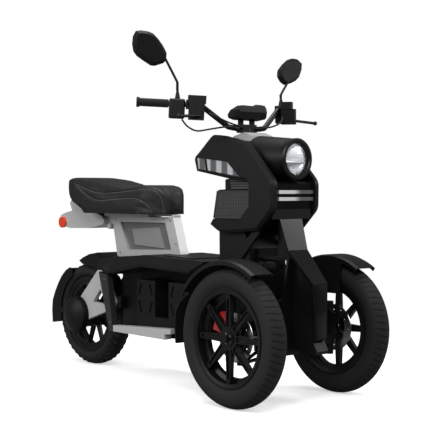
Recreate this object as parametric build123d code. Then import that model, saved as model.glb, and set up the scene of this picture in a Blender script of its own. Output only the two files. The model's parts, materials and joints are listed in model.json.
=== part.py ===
from build123d import *
import math
import os

# Electric scooter with two front wheels and one rear wheel.
# Millimetres, Z up, front towards -Y, the rider's left towards +X.
# Lengths along Y are counted from the front axle; save() centres the whole on its box.

# Wheels and stance
wheelbase = 1312.0
front_track = 570.0
front_tyre_radius = 270.0
front_tyre_width = 92.0
front_flange_radius = 190.0
rear_tyre_radius = 243.0
rear_tyre_width = 110.0
rear_flange_radius = 179.0

# Fits and gaps
running_gap = 0.05
seat_gap = 0.3
tyre_gap = 0.3

# Front wheel parts, outwards from the wheel's middle plane
flange_height = 12.0
flange_width = 4.7
rim_wall = 6.0
well_depth = 18.0
spoke_count = 8
spoke_root_width = 34.0
spoke_tip_width = 19.0
spoke_inner = 8.0
spoke_outer = 26.0
spoke_ridge = 4.0
spoke_pocket = 6.0
hub_radius = 30.0
hub_inner = -12.0
hub_outer = 30.0
axle_radius = 10.0
disc_radius = 95.0
disc_band = 34.0
disc_thickness = 4.0
disc_holes = 12

# Front suspension and steering links
kingpin_x = 245.0
ball_joint_low = 190.0
ball_joint_high = 352.0
link_arm = 75.0
link_level = 242.0
link_thickness = 8.0
tie_rod_radius = 3.5
link_eye_radius = 12.0
link_pin_radius = 5.0
arm_pivot_x = 62.0
arm_pivot_low = 206.0
arm_pivot_high = 398.0
arm_pivot_radius = 9.0
arm_bush_radius = 13.0
arm_leg_radius = 7.0
ball_cup_height = 16.0
ball_boss_half = 11.0
spring_level = 528.0
spring_half_length = 122.0
spring_radius = 27.0

# Front fender over each front tyre
fender_gap = 26.0
fender_half_width = 56.0
fender_wall = 4.0
fender_rear_angle = 33.0
fender_front_angle = 123.0
stay_wall = 4.0

# Deck and frame
deck_half_width = 190.0
deck_crease = 160.0
deck_level = 552.0
tower_half_width = 23.0
frame_half_width = 45.0

# Seat
seat_half_width = 140.0

# Head
head_half_width = 132.0
fairing_inner = 105.0
fairing_bevel_depth = 9.0
fairing_bevel_inset = 12.0
headlight_y = -62.0
headlight_level = 954.0
headlight_radius = 82.0
lens_radius = 61.0

# Handlebar
steer_rake = 15.0
steer_foot = (236.0, 1083.0)
stem_radius = 16.0
stem_length = 66.0
bar_radius = 11.0
grip_radius = 16.5
grip_length = 122.0

# Whole length, from the front tyre to the rear mudguard
mudguard_gap = 30.0
mudguard_wall = 5.0
front_reach = front_tyre_radius
rear_reach = wheelbase + rear_tyre_radius + mudguard_gap + mudguard_wall
middle_y = (rear_reach - front_reach) / 2

os.makedirs("parts", exist_ok=True)


def save(name, *pieces):
    """Write one node, moved so that the whole stands centred on the origin."""
    solids = [solid for piece in pieces for solid in piece.solids()]
    export_step(Pos(0, -middle_y, 0) * Compound(solids), f"parts/{name}.step")


def mirrored(piece):
    """The same piece on the rider's right."""
    return mirror(piece, about=Plane.YZ)


def side_plane(x):
    """A sketch plane seen from the side: across is Y, up is Z."""
    return Plane(origin=(x, 0, 0), x_dir=(0, 1, 0), z_dir=(1, 0, 0))


def front_plane(y):
    """A sketch plane seen from behind: across is X, up is Z; it grows towards -Y."""
    return Plane(origin=(0, y, 0), x_dir=(1, 0, 0), z_dir=(0, -1, 0))


def polygon_face(points):
    return make_face(Polyline(*points, close=True))


def rounded_face(points, radii):
    """A face from an outline whose listed corners, by their place in the list, are rounded."""
    face = polygon_face(points)
    for index, radius in radii.items():
        x, y = points[index]
        corner = min(face.vertices(), key=lambda v: (v.X - x) ** 2 + (v.Y - y) ** 2)
        face = fillet(corner, radius)
    return face


def bevelled(plane, face, straight, bevel, inset):
    """A plate that rises straight, then slopes in by the inset all round its edges."""
    slope = math.degrees(math.atan2(inset, bevel))
    return extrude(plane * face, straight) + extrude(plane.offset(straight) * face, bevel, taper=slope)


def side_plate(points, x_from, x_to):
    """A plate with an outline of (y, z) points between two distances from the middle."""
    return extrude(side_plane(x_from) * polygon_face(points), x_to - x_from)


def front_plate(points, y_front, y_rear):
    """A plate with an outline of (x, z) points between two places along the length."""
    return extrude(front_plane(y_rear) * polygon_face(points), y_rear - y_front)


def flat_plate(points, z_low, z_high):
    """A level plate with an outline of (x, y) points."""
    return extrude(Plane.XY.offset(z_low) * polygon_face(points), z_high - z_low)


def block(x, y, z):
    """A box from three (low, high) pairs."""
    size = (x[1] - x[0], y[1] - y[0], z[1] - z[0])
    return Pos((x[0] + x[1]) / 2, (y[0] + y[1]) / 2, (z[0] + z[1]) / 2) * Box(*size)


def rod(start, end, radius):
    """A round bar from one point to another."""
    start, end = Vector(*start), Vector(*end)
    along = Plane(origin=start, z_dir=(end - start).normalized())
    return extrude(along * Circle(radius), (end - start).length)


def spun(points):
    """A ring about the X axis from closed (across, radius) points."""
    return revolve(polygon_face(points), Axis.X)


# Tyres

def tyre(width, radius, bead_radius, bead_half_width):
    """A tyre about the X axis, open towards the rim, with round walls and crown."""
    half = width / 2
    flange_top = bead_radius + flange_height + 1.5
    shoulder = (half * 0.86, radius - half * 0.42)
    bulge = (half, (flange_top + shoulder[1]) / 2 + 3)
    wall = 9.0
    inner_shoulder = (shoulder[0] - wall, shoulder[1] - wall)
    inner_bulge = (half - wall - 5, bulge[1] - 3)
    inner_bead = bead_half_width - wall
    outer_wall = ThreePointArc((bead_half_width, flange_top), bulge, shoulder)
    crown = ThreePointArc(shoulder, (0, radius), (-shoulder[0], shoulder[1]))
    outer_wall_far = ThreePointArc(
        (-shoulder[0], shoulder[1]), (-bulge[0], bulge[1]), (-bead_half_width, flange_top)
    )
    bead_far = Polyline(
        (-bead_half_width, flange_top), (-bead_half_width, bead_radius), (-inner_bead, bead_radius)
    )
    inner_wall_far = ThreePointArc(
        (-inner_bead, bead_radius),
        (-inner_bulge[0], inner_bulge[1]),
        (-inner_shoulder[0], inner_shoulder[1]),
    )
    inner_crown = ThreePointArc(
        (-inner_shoulder[0], inner_shoulder[1]), (0, radius - wall - 3), inner_shoulder
    )
    inner_wall = ThreePointArc(inner_shoulder, inner_bulge, (inner_bead, bead_radius))
    bead = Polyline(
        (inner_bead, bead_radius), (bead_half_width, bead_radius), (bead_half_width, flange_top)
    )
    edges = [outer_wall, crown, outer_wall_far, bead_far, inner_wall_far, inner_crown]
    edges += [inner_wall, bead]
    return revolve(make_face([edge for part in edges for edge in part.edges()]), Axis.X)


def rim_barrel(flange_radius, half_width):
    """The rim's ring: two flanges, two bead seats and a well towards the inner side."""
    seat = flange_radius - flange_height
    inner = seat - rim_wall
    well = seat - well_depth
    flange = half_width + flange_width
    outer_side = [
        (-flange, flange_radius),
        (-half_width, flange_radius),
        (-half_width, seat),
        (-half_width + 6, seat - 1),
        (-half_width + 10, well),
        (-half_width + 27, well),
        (-half_width + 32, seat - 1),
        (half_width, seat),
        (half_width, flange_radius),
        (flange, flange_radius),
    ]
    inner_side = [
        (flange, flange_radius - 5),
        (half_width + 1, inner),
        (-half_width + 35, inner - 1),
        (-half_width + 29, well - rim_wall),
        (-half_width + 8, well - rim_wall),
        (-half_width + 3, inner),
        (-half_width - 1, inner),
        (-flange, flange_radius - 5),
    ]
    return spun(outer_side + inner_side)


def blade_spoke(inner_radius, outer_radius):
    """One blade standing up from the hub, with a sunken face between two ridges."""
    root = spoke_root_width / 2
    tip = spoke_tip_width / 2
    blade = side_plate(
        [(-root, inner_radius), (root, inner_radius), (tip, outer_radius), (-tip, outer_radius)],
        spoke_inner,
        spoke_outer,
    )
    pocket = side_plate(
        [
            (-root + spoke_ridge + 2, inner_radius + 22),
            (root - spoke_ridge - 2, inner_radius + 22),
            (tip - spoke_ridge, outer_radius - 20),
            (-tip + spoke_ridge, outer_radius - 20),
        ],
        spoke_outer - spoke_pocket,
        spoke_outer + 1,
    )
    return blade - pocket


def spoked_rim():
    """A cast front rim about the X axis: barrel, eight blades and a bored hub."""
    half_width = front_tyre_width / 2 - 14
    rim = rim_barrel(front_flange_radius, half_width)
    blade = blade_spoke(hub_radius - 6, front_flange_radius - flange_height - rim_wall + 2)
    for k in range(spoke_count):
        rim += Rot(k * 360 / spoke_count, 0, 0) * blade
    rim += Pos((hub_inner + hub_outer) / 2, 0, 0) * Rot(0, 90, 0) * Cylinder(
        hub_radius, hub_outer - hub_inner
    )
    return rim - Rot(0, 90, 0) * Cylinder(axle_radius + running_gap, 4 * hub_radius)


def brake_disc():
    """A drilled disc with a five-armed carrier that bolts on the hub's inner face."""
    face = hub_inner - disc_thickness / 2
    band = Cylinder(disc_radius, disc_thickness) - Cylinder(disc_radius - disc_band, 2 * disc_thickness)
    for k in range(disc_holes):
        ring = disc_radius - disc_band * (0.3 if k % 2 else 0.68)
        band -= Rot(0, 0, k * 360 / disc_holes) * Pos(ring, 0, 0) * Cylinder(4, 2 * disc_thickness)
    carrier = Cylinder(hub_radius - 2, disc_thickness)
    for k in range(5):
        carrier += Rot(0, 0, k * 72) * Pos(disc_radius / 2 - 8, 0, 0) * Box(56, 13, disc_thickness)
    carrier -= Cylinder(axle_radius + 2, 2 * disc_thickness)
    return Pos(face, 0, 0) * Rot(0, 90, 0) * (band + carrier)


def front_wheels():
    half_track = front_track / 2
    place = Pos(half_track, 0, front_tyre_radius)
    bead = front_flange_radius - flange_height + tyre_gap
    half_width = front_tyre_width / 2 - 14 - tyre_gap
    pieces = {
        "front_tyre": place * tyre(front_tyre_width, front_tyre_radius, bead, half_width),
        "front_rim": place * spoked_rim(),
        "front_disc": place * brake_disc(),
    }
    for name, piece in pieces.items():
        save(f"{name}_left", piece)
        save(f"{name}_right", mirrored(piece))


# Knuckles with caliper and fender

def knuckle():
    """The left upright: two ball joint bosses, a steering arm and the wheel's axle."""
    half_track = front_track / 2
    outer = kingpin_x + 9
    upright = side_plate(
        [
            (-14, ball_joint_low),
            (14, ball_joint_low),
            (26, front_tyre_radius - 16),
            (26, front_tyre_radius + 16),
            (14, ball_joint_high),
            (-14, ball_joint_high),
            (-26, front_tyre_radius + 16),
            (-26, front_tyre_radius - 16),
        ],
        kingpin_x - 9,
        outer,
    )
    for level in (ball_joint_low, ball_joint_high):
        upright += Pos(kingpin_x, 0, level) * Cylinder(17, 22)
    axle_end = half_track + hub_outer + 14
    shoulder_end = half_track + hub_inner - disc_thickness - 0.5
    upright += rod((outer - 1, 0, front_tyre_radius), (axle_end, 0, front_tyre_radius), axle_radius)
    upright += rod((outer - 1, 0, front_tyre_radius), (shoulder_end, 0, front_tyre_radius), axle_radius + 5)
    nut_start = half_track + hub_outer + seat_gap
    nut = Plane(origin=(nut_start, 0, front_tyre_radius), z_dir=(1, 0, 0)) * RegularPolygon(16, 6)
    upright += extrude(nut, 9)
    low = link_level - link_thickness / 2
    arm = flat_plate(
        [
            (kingpin_x - 9, 10),
            (kingpin_x + 9, 10),
            (kingpin_x + link_eye_radius - 2, link_arm),
            (kingpin_x - link_eye_radius + 2, link_arm),
        ],
        low,
        low + link_thickness,
    )
    arm += Pos(kingpin_x, link_arm, link_level) * Cylinder(link_eye_radius, link_thickness)
    return upright + arm


def link_pin(x, y, top, bottom):
    return Pos(x, y, (top + bottom) / 2) * Cylinder(link_pin_radius, top - bottom)


def caliper():
    """The left caliper: two cheeks over the disc's edge, on a lug of the upright."""
    half_track = front_track / 2
    disc_face = half_track + hub_inner
    inner = disc_face - disc_thickness - 14
    outer = disc_face + 14
    inner_radius = disc_radius - 28
    outer_radius = disc_radius + 22
    bridge_radius = disc_radius + 5
    arc = [math.radians(12 + 44 * k / 8) for k in range(9)]
    outline = [(outer_radius * math.cos(a), outer_radius * math.sin(a)) for a in arc]
    outline += [(inner_radius * math.cos(a), inner_radius * math.sin(a)) for a in reversed(arc)]
    body = side_plate(outline, inner, outer)
    slot = Pos(disc_face - disc_thickness / 2, 0, 0) * Rot(0, 90, 0) * Cylinder(
        bridge_radius, disc_thickness + 6
    )
    body -= slot
    return Pos(0, 0, front_tyre_radius) * body


def caliper_lug():
    """The bracket that joins the upright to the caliper's inner cheek."""
    half_track = front_track / 2
    inner = half_track + hub_inner - disc_thickness - 14
    points = [(20, 8), (34, -6), (96, 34), (70, 62), (16, 40)]
    points = [(y, z + front_tyre_radius) for y, z in points]
    return side_plate(points, kingpin_x - 2, inner)


def fender():
    """The left fender: a crowned arc over the tyre, carried by a stay on the upright."""
    half_track = front_track / 2
    inner = front_tyre_radius + fender_gap
    outer = inner + fender_wall
    crown = 5.0
    edge = 16.0
    half = fender_half_width
    top = [
        (-half, inner - edge),
        (-half, outer - crown),
        (-half + 14, outer),
        (half - 14, outer),
        (half, outer - crown),
        (half, inner - edge),
        (half - fender_wall, inner - edge),
        (half - fender_wall, inner - crown),
        (half - 15, inner),
        (-half + 15, inner),
        (-half + fender_wall, inner - crown),
        (-half + fender_wall, inner - edge),
    ]
    span = fender_front_angle - fender_rear_angle
    shell = revolve(polygon_face(top), Axis.X, span)
    shell = Rot(fender_rear_angle, 0, 0) * shell
    stay_x = half_track - half
    stay_top = front_tyre_radius + inner - edge + 2
    stay_low = ball_joint_high - 60
    stay = side_plate(
        [
            (-84, stay_top),
            (84, stay_top),
            (72, ball_joint_high + 70),
            (66, stay_low + 8),
            (22, stay_low),
            (-22, stay_low),
            (-66, stay_low + 8),
            (-72, ball_joint_high + 70),
        ],
        stay_x - stay_wall,
        stay_x,
    )
    window_low = ball_joint_high - 20
    window_high = ball_joint_high + 62
    stay -= side_plate(
        [(-50, window_low), (50, window_low), (54, window_high), (-54, window_high)],
        stay_x - 20,
        stay_x + 20,
    )
    rim_strip = block((stay_x - stay_wall, stay_x + 1), (-60, 60), (stay_top - 4, stay_top + 2))
    pad = block((stay_x - 1, kingpin_x - 9), (-16, 16), (stay_low + 2, window_low - 3))
    return Pos(half_track, 0, front_tyre_radius) * shell + stay + rim_strip + pad


def knuckles():
    pin_left = link_pin(kingpin_x, link_arm, link_level - 4, link_level - 17)
    pin_right = link_pin(kingpin_x, link_arm, link_level + 17, link_level + 4)
    upright = knuckle() + caliper_lug()
    save("knuckle_left", upright + pin_left)
    save("knuckle_right", mirrored(upright + pin_right))
    save("front_caliper_left", caliper())
    save("front_caliper_right", mirrored(caliper()))
    save("front_fender_left", fender())
    save("front_fender_right", mirrored(fender()))


# Steering links

def tie_rod(above):
    """A flat-eyed rod from the centre arm's pin to the left steering arm's pin."""
    offset = link_thickness / 2 + seat_gap
    low = link_level + offset if above else link_level - offset - link_thickness
    eyes = None
    for x in (0, kingpin_x):
        eye = Pos(x, link_arm, low + link_thickness / 2) * Cylinder(link_eye_radius, link_thickness)
        eyes = eye if eyes is None else eyes + eye
    level = low + link_thickness / 2
    bar = rod((8, link_arm, level), (kingpin_x - 8, link_arm, level), tie_rod_radius)
    shape = eyes + bar
    for x in (0, kingpin_x):
        shape -= Pos(x, link_arm, level) * Cylinder(link_pin_radius + running_gap, 40)
    return shape


def steering_arm():
    """The centre arm under the steering column, with the pin that both rods share."""
    low = link_level - link_thickness / 2
    arm = flat_plate(
        [(-13, 0), (13, 0), (link_eye_radius - 2, link_arm), (-link_eye_radius + 2, link_arm)],
        low,
        low + link_thickness,
    )
    arm += Pos(0, 0, link_level) * Cylinder(15, link_thickness)
    arm += Pos(0, link_arm, link_level) * Cylinder(link_eye_radius, link_thickness)
    arm += link_pin(0, link_arm, link_level + 17, link_level - 17)
    column = rod((0, 0, link_level), (0, 0, 330), 8)
    return arm + column


def steering_links():
    save("steering_arm", steering_arm())
    save("tie_rod_left", tie_rod(above=False))
    save("tie_rod_right", mirrored(tie_rod(above=True)))


# Main frame

front_bulkhead = (-70, -58)
rear_bulkhead = (98, 110)
arm_bush_places = (-42, 76)
spine_rear = 1030.0
spine_low = 216.0
spine_front_high = 420.0
deck_top = [(312, 541), (710, deck_level), (930, 535), (1046, 520)]
deck_pad = (430, 620)
deck_pad_half = 130.0
pad_height = 4.0
deck_underside = [(368, 488), (709, 500), (951, 455), (1040, 470)]


def height_on(line, y):
    """The height of a line of (y, z) points at a place along the length."""
    for (y0, z0), (y1, z1) in zip(line, line[1:]):
        if y <= y1:
            return z0 + (z1 - z0) * (y - y0) / (y1 - y0)
    return line[-1][1]


def deck_under(y):
    return height_on(deck_underside, y)


def main_frame():
    """Two bulkheads with the arm pivots, the column's bracket, spine and rear pivot."""
    foot = [(-75, 190), (75, 190), (82, 420)]
    frame = front_plate(foot + [(60, 566), (-60, 566), (-82, 420)], *front_bulkhead)
    frame += front_plate(foot + [(60, 600), (-60, 600), (-82, 420)], *rear_bulkhead)
    frame += block((-44, 44), (front_bulkhead[0], rear_bulkhead[1]), (190, 200))
    frame += block((-50, 50), (front_bulkhead[0], rear_bulkhead[1]), (558, 566))
    bracket = block((-30, 30), (front_bulkhead[0], rear_bulkhead[1]), (296, 306))
    bracket -= Pos(0, 0, 300) * Cylinder(8 + running_gap, 40)
    frame += bracket
    for x in (-arm_pivot_x, arm_pivot_x):
        for level in (arm_pivot_low, arm_pivot_high):
            frame += rod((x, front_bulkhead[0], level), (x, rear_bulkhead[1], level), arm_pivot_radius)
    spine = [(rear_bulkhead[1] - 4, spine_low), (spine_rear, spine_low), (spine_rear, deck_under(spine_rear))]
    spine += [point for point in reversed(deck_underside) if point[0] < spine_rear]
    spine += [(deck_underside[0][0], spine_front_high), (rear_bulkhead[1] - 4, spine_front_high)]
    frame += side_plate(spine, -frame_half_width, frame_half_width)
    y, z = swing_pivot
    reach = swingarm_x[0] - seat_gap
    lug = block((-reach, reach), (spine_rear - 30, y + 12), (z - 26, z + 26))
    return frame + lug - rod((-200, y, z), (200, y, z), swing_pivot_radius + running_gap)


def forked_arm(pivot_level, cup_low, leg_shift):
    """A left arm: two legs from bored bushes to a ball joint cup on the kingpin's line."""
    cup_level = cup_low + ball_cup_height / 2
    arm = Pos(kingpin_x, 0, cup_level) * Cylinder(16, ball_cup_height)
    for y in arm_bush_places:
        leg_end = (kingpin_x, 0, cup_level + leg_shift)
        arm += rod((arm_pivot_x, y, pivot_level), leg_end, arm_leg_radius)
        arm += rod((arm_pivot_x, y - 14, pivot_level), (arm_pivot_x, y + 14, pivot_level), arm_bush_radius)
    bore = rod(
        (arm_pivot_x, -200, pivot_level), (arm_pivot_x, 200, pivot_level), arm_pivot_radius + 0.1
    )
    return arm - bore


def spring_horn():
    """The plate that stands on the left upper arm and carries the cross spring's end."""
    foot = arm_pivot_high - 14
    web = flat_plate(
        [
            (spring_half_length - 34, arm_bush_places[0] * 0.78),
            (spring_half_length + 18, arm_bush_places[0] * 0.5),
            (spring_half_length + 18, arm_bush_places[1] * 0.5),
            (spring_half_length - 34, arm_bush_places[1] * 0.78),
        ],
        foot,
        foot + 12,
    )
    return web + front_plate(
        [
            (spring_half_length - 26, foot),
            (spring_half_length + 12, foot - 4),
            (spring_half_length + 16, spring_level + 14),
            (spring_half_length + 0.3, spring_level + 16),
            (spring_half_length + 0.3, spring_level - spring_radius - 8),
        ],
        6,
        32,
    )


def front_suspension():
    low_cup = ball_joint_low - ball_boss_half - seat_gap - ball_cup_height
    high_cup = ball_joint_high + ball_boss_half + seat_gap
    lower = forked_arm(arm_pivot_low, low_cup, -3.5)
    upper = forked_arm(arm_pivot_high, high_cup, 0) + spring_horn()
    save("suspension_arms", lower, upper, mirrored(lower), mirrored(upper))
    half = spring_half_length
    y = 19
    ribs = 6
    pitch = 9.0
    start = half - 8 - ribs * pitch
    profile = [(-0.5, 0), (-0.5, 9), (start, 9), (start, spring_radius - 10)]
    for k in range(ribs):
        profile += [(start + (k + 0.5) * pitch, spring_radius - 2)]
        profile += [(start + (k + 1) * pitch, spring_radius - 10)]
    profile += [(half - 8, spring_radius), (half, spring_radius), (half, 0)]
    bellows = Pos(0, y, spring_level) * spun(profile)
    save("cross_spring", bellows + mirrored(bellows))


# Deck

def deck_body():
    """The foot deck: a faceted cap whose sides bevel down to an arched lower edge."""
    crease = list(reversed(deck_top)) + deck_underside
    edge = [(1020, 496), (951, 470), (709, 517), (372, 504), (380, 492), (709, 503), (951, 458), (1010, 478)]
    core = side_plate(crease, -deck_crease, deck_crease)
    inner = side_plane(deck_crease) * polygon_face(crease)
    outer = side_plane(deck_half_width) * polygon_face(edge)
    bevel = loft([inner, outer], ruled=True)
    low = [(y, height_on(deck_top, y)) for y in deck_pad]
    pad = side_plate(low + [(y, z + pad_height) for y, z in reversed(low)], -deck_pad_half, deck_pad_half)
    return core + bevel + mirrored(bevel) + pad


def side_posts():
    """The rear corner plates of the deck, leaning back, with a folded inner return."""
    post = side_plate([(951, 454.7), (1016, 465.5), (937, 206), (907, 206)], 160, deck_half_width)
    return [post, mirrored(post)]


def sills():
    """The bright side sills: a wedge that deepens to the front, with a stepped nose."""
    outline = [(906, 206), (906, 233), (500, 251), (500, 230), (540, 226), (540, 203)]
    sill = side_plate(outline, 152, deck_half_width)
    for x in (160, 171, 182):
        groove = rod((x, 960, 236.5), (x, 440, 259.5), 4)
        sill -= groove
    return [sill, mirrored(sill)]


def battery_blocks():
    """Two packs each side, standing on the tray, each with four slanting hollows outside."""
    packs = []
    low, high = 286, 442
    face = 150
    for y_from, y_to in ((655, 783), (432, 562)):
        pack = block((48, face), (y_from, y_to), (low, high))
        middle_y, middle_z = (y_from + y_to) / 2, (low + high) / 2
        for side in (-1, 1):
            for level in (-1, 1):
                hollow = side_plane(face - 5) * Pos(middle_y + side * 38, middle_z + level * 38) * Rot(
                    0, 0, side * level * 22
                ) * SlotOverall(54, 16, rotation=90)
                pack -= extrude(hollow, 10)
        packs += [pack, mirrored(pack)]
    return packs


def belly_tray():
    """The floor pan between the sills, with a plinth under each row of packs."""
    pan = block((-151.7, 151.7), (422, 1000), (206, 216))
    plinth = block((46, 146), (425, 790), (215, 286))
    return pan + plinth + mirrored(plinth)


def splash_guards():
    """The curved shields behind the front wheels, round-cornered at the top outside."""
    radius = 415.0
    wheel_level = front_tyre_radius
    shell = Pos(140, 0, wheel_level) * Rot(0, 90, 0) * (Cylinder(radius, 200) - Cylinder(radius - 5, 220))
    face = make_face(Polyline((45.3, 206), (236, 206), (236, 408), (45.3, 408), close=True))
    face = fillet(face.vertices().sort_by(lambda v: v.X + v.Y)[-1:], 80)
    window = extrude(front_plane(480) * face, 300)
    guard = shell & window
    return [guard, mirrored(guard)]


# Head

column_half_width = 100.0


def leg_column():
    """The broad column from the frame up into the head, with a slanting brace on each side."""
    column = side_plate(
        [(292, 690), (290, 556), (308, 536), (308, 420.3), (110.3, 420.3), (110.3, 600), (150, 690)],
        -column_half_width,
        column_half_width,
    )
    start = column_half_width + seat_gap
    brace = side_plate([(34, 672.5), (84, 667.5), (224, 538), (168, 538)], start, start + 10)
    return [column, brace, mirrored(brace)]


fairing_outline = [
    (394, 987), (304, 1059), (233, 1051), (100, 1022), (-55, 867), (-53, 757), (34, 674), (249, 659),
    (276, 669), (322, 694), (304, 716), (147, 712), (89, 769), (89, 871), (184, 875), (406, 912), (423, 966),
]
fairing_corner_radii = {1: 46, 4: 50, 5: 50, 12: 25, 13: 25, 16: 20}
lamp_outline = [(338, 960), (211, 947), (136, 886), (328, 913)]
lamp_end_outline = [(396, 966), (348, 961), (340, 914), (388, 920)]
lamp_depth = 14.0
face_line = [(758, -37), (858, -41)]


def side_fairings():
    """The two C-shaped head fairings, bevelled all round, with pockets for the side lamps."""
    outline = rounded_face(fairing_outline, fairing_corner_radii)
    straight = head_half_width - fairing_bevel_depth - fairing_inner
    fairing = bevelled(side_plane(fairing_inner), outline, straight, fairing_bevel_depth, fairing_bevel_inset)
    for outline in (lamp_outline, lamp_end_outline):
        fairing -= side_plate(outline, head_half_width - lamp_depth, head_half_width + 5)
    return [fairing, mirrored(fairing)]


def front_lenses():
    """Both side lamps' lenses and the two light bars across the face."""
    lenses = []
    for outline in (lamp_outline, lamp_end_outline):
        lens = side_plate(outline, head_half_width - lamp_depth, head_half_width - 2)
        lenses += [lens, mirrored(lens)]
    for low in (791, 818):
        high = low + 14
        back = [(height_on(face_line, z) - seat_gap, z) for z in (low, high)]
        lenses.append(side_plate([(-46, high), (-46, low)] + back, -100, 100))
    return lenses


def steering_stem(gap=0.0):
    """The stem on the raked steering axis, down into the head; with a gap, its bore."""
    rake = math.radians(steer_rake)
    y, z = steer_foot
    below = stem_length + (1 if gap else 0)
    above = 80 if gap else 0
    foot = (0, y - below * math.sin(rake), z - below * math.cos(rake))
    head = (0, y + above * math.sin(rake), z + above * math.cos(rake))
    return rod(foot, head, stem_radius + gap)


def head_core():
    """The closed middle of the head, between the fairings, under the hood and the cap."""
    core = side_plate(
        [(40, 690.3), (310, 690.3), (330, 715), (304, 834), (262, 836), (262, 876), (200, 884), (290, 1000),
         (300, cap_seat), (160, cap_seat), (160, 900), (19.3, 866.3), (19.3, 760)],
        -94,
        94,
    )
    return core - steering_stem(running_gap) - headlight_hood(seat_gap)


def cowl_cap():
    """The light cap that closes the head round the steering stem, behind the hood."""
    low = cap_seat + seat_gap
    cap = side_plate([(262, low), (250, 1052), (187, 1066), (146, 1052), (146, low)], -60, 60)
    return cap - steering_stem(running_gap) - headlight_hood(seat_gap)


def side_grilles():
    """The mesh panels with their raised rims, and the stack of louvres above each."""
    outline = [(304, 827), (327, 721), (99, 721), (99, 827)]
    pane = side_plate([(308, 830), (331, 718), (96, 718), (96, 830)], 94.3, 100)
    pane -= side_plate(outline, 97.2, 101)
    pieces = [pane]
    for k in range(4):
        z = 838 + 10 * k
        rear = 218 + 2 * k
        pieces.append(side_plate([(96, z), (rear, z), (rear - 6, z + 7), (96, z + 7)], 94.3, 103))
    return pieces + [mirrored(piece) for piece in pieces]


hood_front = -38.0
cap_seat = 1028.0
hood_rear = 192.0


def headlight_hood(gap=0.0):
    """The round hood behind the headlight, rising and widening to the rear."""
    stations = [(hood_front, -1, 0), (60, 6, 2), (hood_rear + gap, 12, 6)]
    sections = []
    for y, wider, rise in stations:
        across = Plane(origin=(0, y, headlight_level + rise), z_dir=(0, -1, 0))
        sections.append(across * Circle(headlight_radius + wider + gap))
    return loft(sections)


def headlight():
    """The hood with its reflector bowl, the bezel ring and the lens."""
    hood = headlight_hood() - steering_stem(running_gap)
    bowl_depth = 34.0
    bowl = (lens_radius**2 + bowl_depth**2) / (2 * bowl_depth)
    hood -= Pos(0, hood_front - 0.01 + bowl_depth - bowl, headlight_level) * Sphere(bowl)
    front = Plane(origin=(0, headlight_y, headlight_level), z_dir=(0, 1, 0))
    depth = hood_front - headlight_y
    ring = extrude(front * (Circle(headlight_radius) - Circle(lens_radius + 1)), depth)
    ring = chamfer(ring.edges().filter_by(GeomType.CIRCLE).sort_by(Axis.Y)[:2], 5)
    lens_ball = 150.0
    lens = extrude(front.offset(4) * Circle(lens_radius + 0.7), 16)
    lens = lens & (Pos(0, headlight_y + 4 + lens_ball, headlight_level) * Sphere(lens_ball))
    return hood, ring, lens



def face_panel():
    """The upright panel under the headlight."""
    return side_plate([(-22, 719), (-37, 758), (-41, 858), (-30, 866), (19, 866), (19, 719)], -104.5, 104.5)


strut_front = [(-23, 718.7), (-62, 598), (-183, 473), (-190, 257)]
strut_back = [(-7, 714.7), (-46, 594), (-167, 469), (-174, 253)]


def nose_strut():
    """The front strut: a thick folded strip that narrows as it goes down."""
    strip = side_plate(strut_front + list(reversed(strut_back)), -70, 70)
    taper = front_plate(
        [(-61, 720), (61, 720), (53, 598), (40, 473), (30, 250), (-30, 250), (-40, 473), (-53, 598)], -260, 60
    )
    return strip & taper


def keel():
    """The dark body behind the strut, down to the lowest point of the nose."""
    rear_face = front_bulkhead[0] - seat_gap
    chin = [(-196, 214), (-184, 200), (-112, 196), (rear_face, 230)]
    back = [(rear_face, 566.3), (19, 566.3), (19, 714.7)]
    return side_plate(strut_back + chin + back, -32, 32)


# Rear

swingarm_x = (78.0, 100.0)
swing_pivot = (1046.0, 320.0)
swing_pivot_radius = 14.0
rear_axle_radius = 12.0
hub_cover_radius = 82.0
hub_cover_drum = 26.0
hub_cover_dome = 28.0
rear_axle_level = rear_tyre_radius
side_clearance = 5.5
guard_edge = 203.0
guard_back = [
    (1585, 180), (1590, 243), (1585, 290), (1562, 335), (1536, 375), (1506, 412), (1470, 442),
    (1436, 458), (1412, 455),
]
hump_top = [(1046.3, 519.7), (1100, 527), (1140, 538), (1200, 540), (1267, 530), (1320, 512), (1350, 497)]


def swingarm():
    """Two side arms with a triangle window each, and the axle between them."""
    arm = side_plate(
        [(1360, 214), (1380, 243), (1362, 290), (1290, 330), (1150, 462), (1090, 462), (1050, 370),
         (1024, 320), (1046, 286), (1290, 208)],
        *swingarm_x,
    )
    arm -= side_plate([(1190, 312), (1130, 374), (1098, 330), (1098, 306)], 60, 120)
    reach = swingarm_x[1]
    axle = rod((-reach, wheelbase, rear_axle_level), (reach, wheelbase, rear_axle_level), rear_axle_radius)
    pivot = rod((-reach, *swing_pivot), (reach, *swing_pivot), swing_pivot_radius)
    return arm + mirrored(arm) + axle + pivot


def hub_covers():
    """The domed covers over the axle ends."""
    start = swingarm_x[1] + seat_gap
    drum_end = start + hub_cover_drum
    bulge = (hub_cover_radius**2 + hub_cover_dome**2) / (2 * hub_cover_dome)
    drum = Pos((start + drum_end) / 2, 0, 0) * Rot(0, 90, 0) * Cylinder(hub_cover_radius, hub_cover_drum)
    ball = Pos(drum_end + hub_cover_dome - bulge, 0, 0) * Sphere(bulge)
    reach = Pos(drum_end + 49.9, 0, 0) * Rot(0, 90, 0) * Cylinder(hub_cover_radius, 100)
    flange = Pos(start + 3, 0, 0) * Rot(0, 90, 0) * Cylinder(hub_cover_radius + 7, 6)
    cover = Pos(0, wheelbase, rear_axle_level) * (drum + flange + (ball & reach))
    return [cover, mirrored(cover)]


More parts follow.
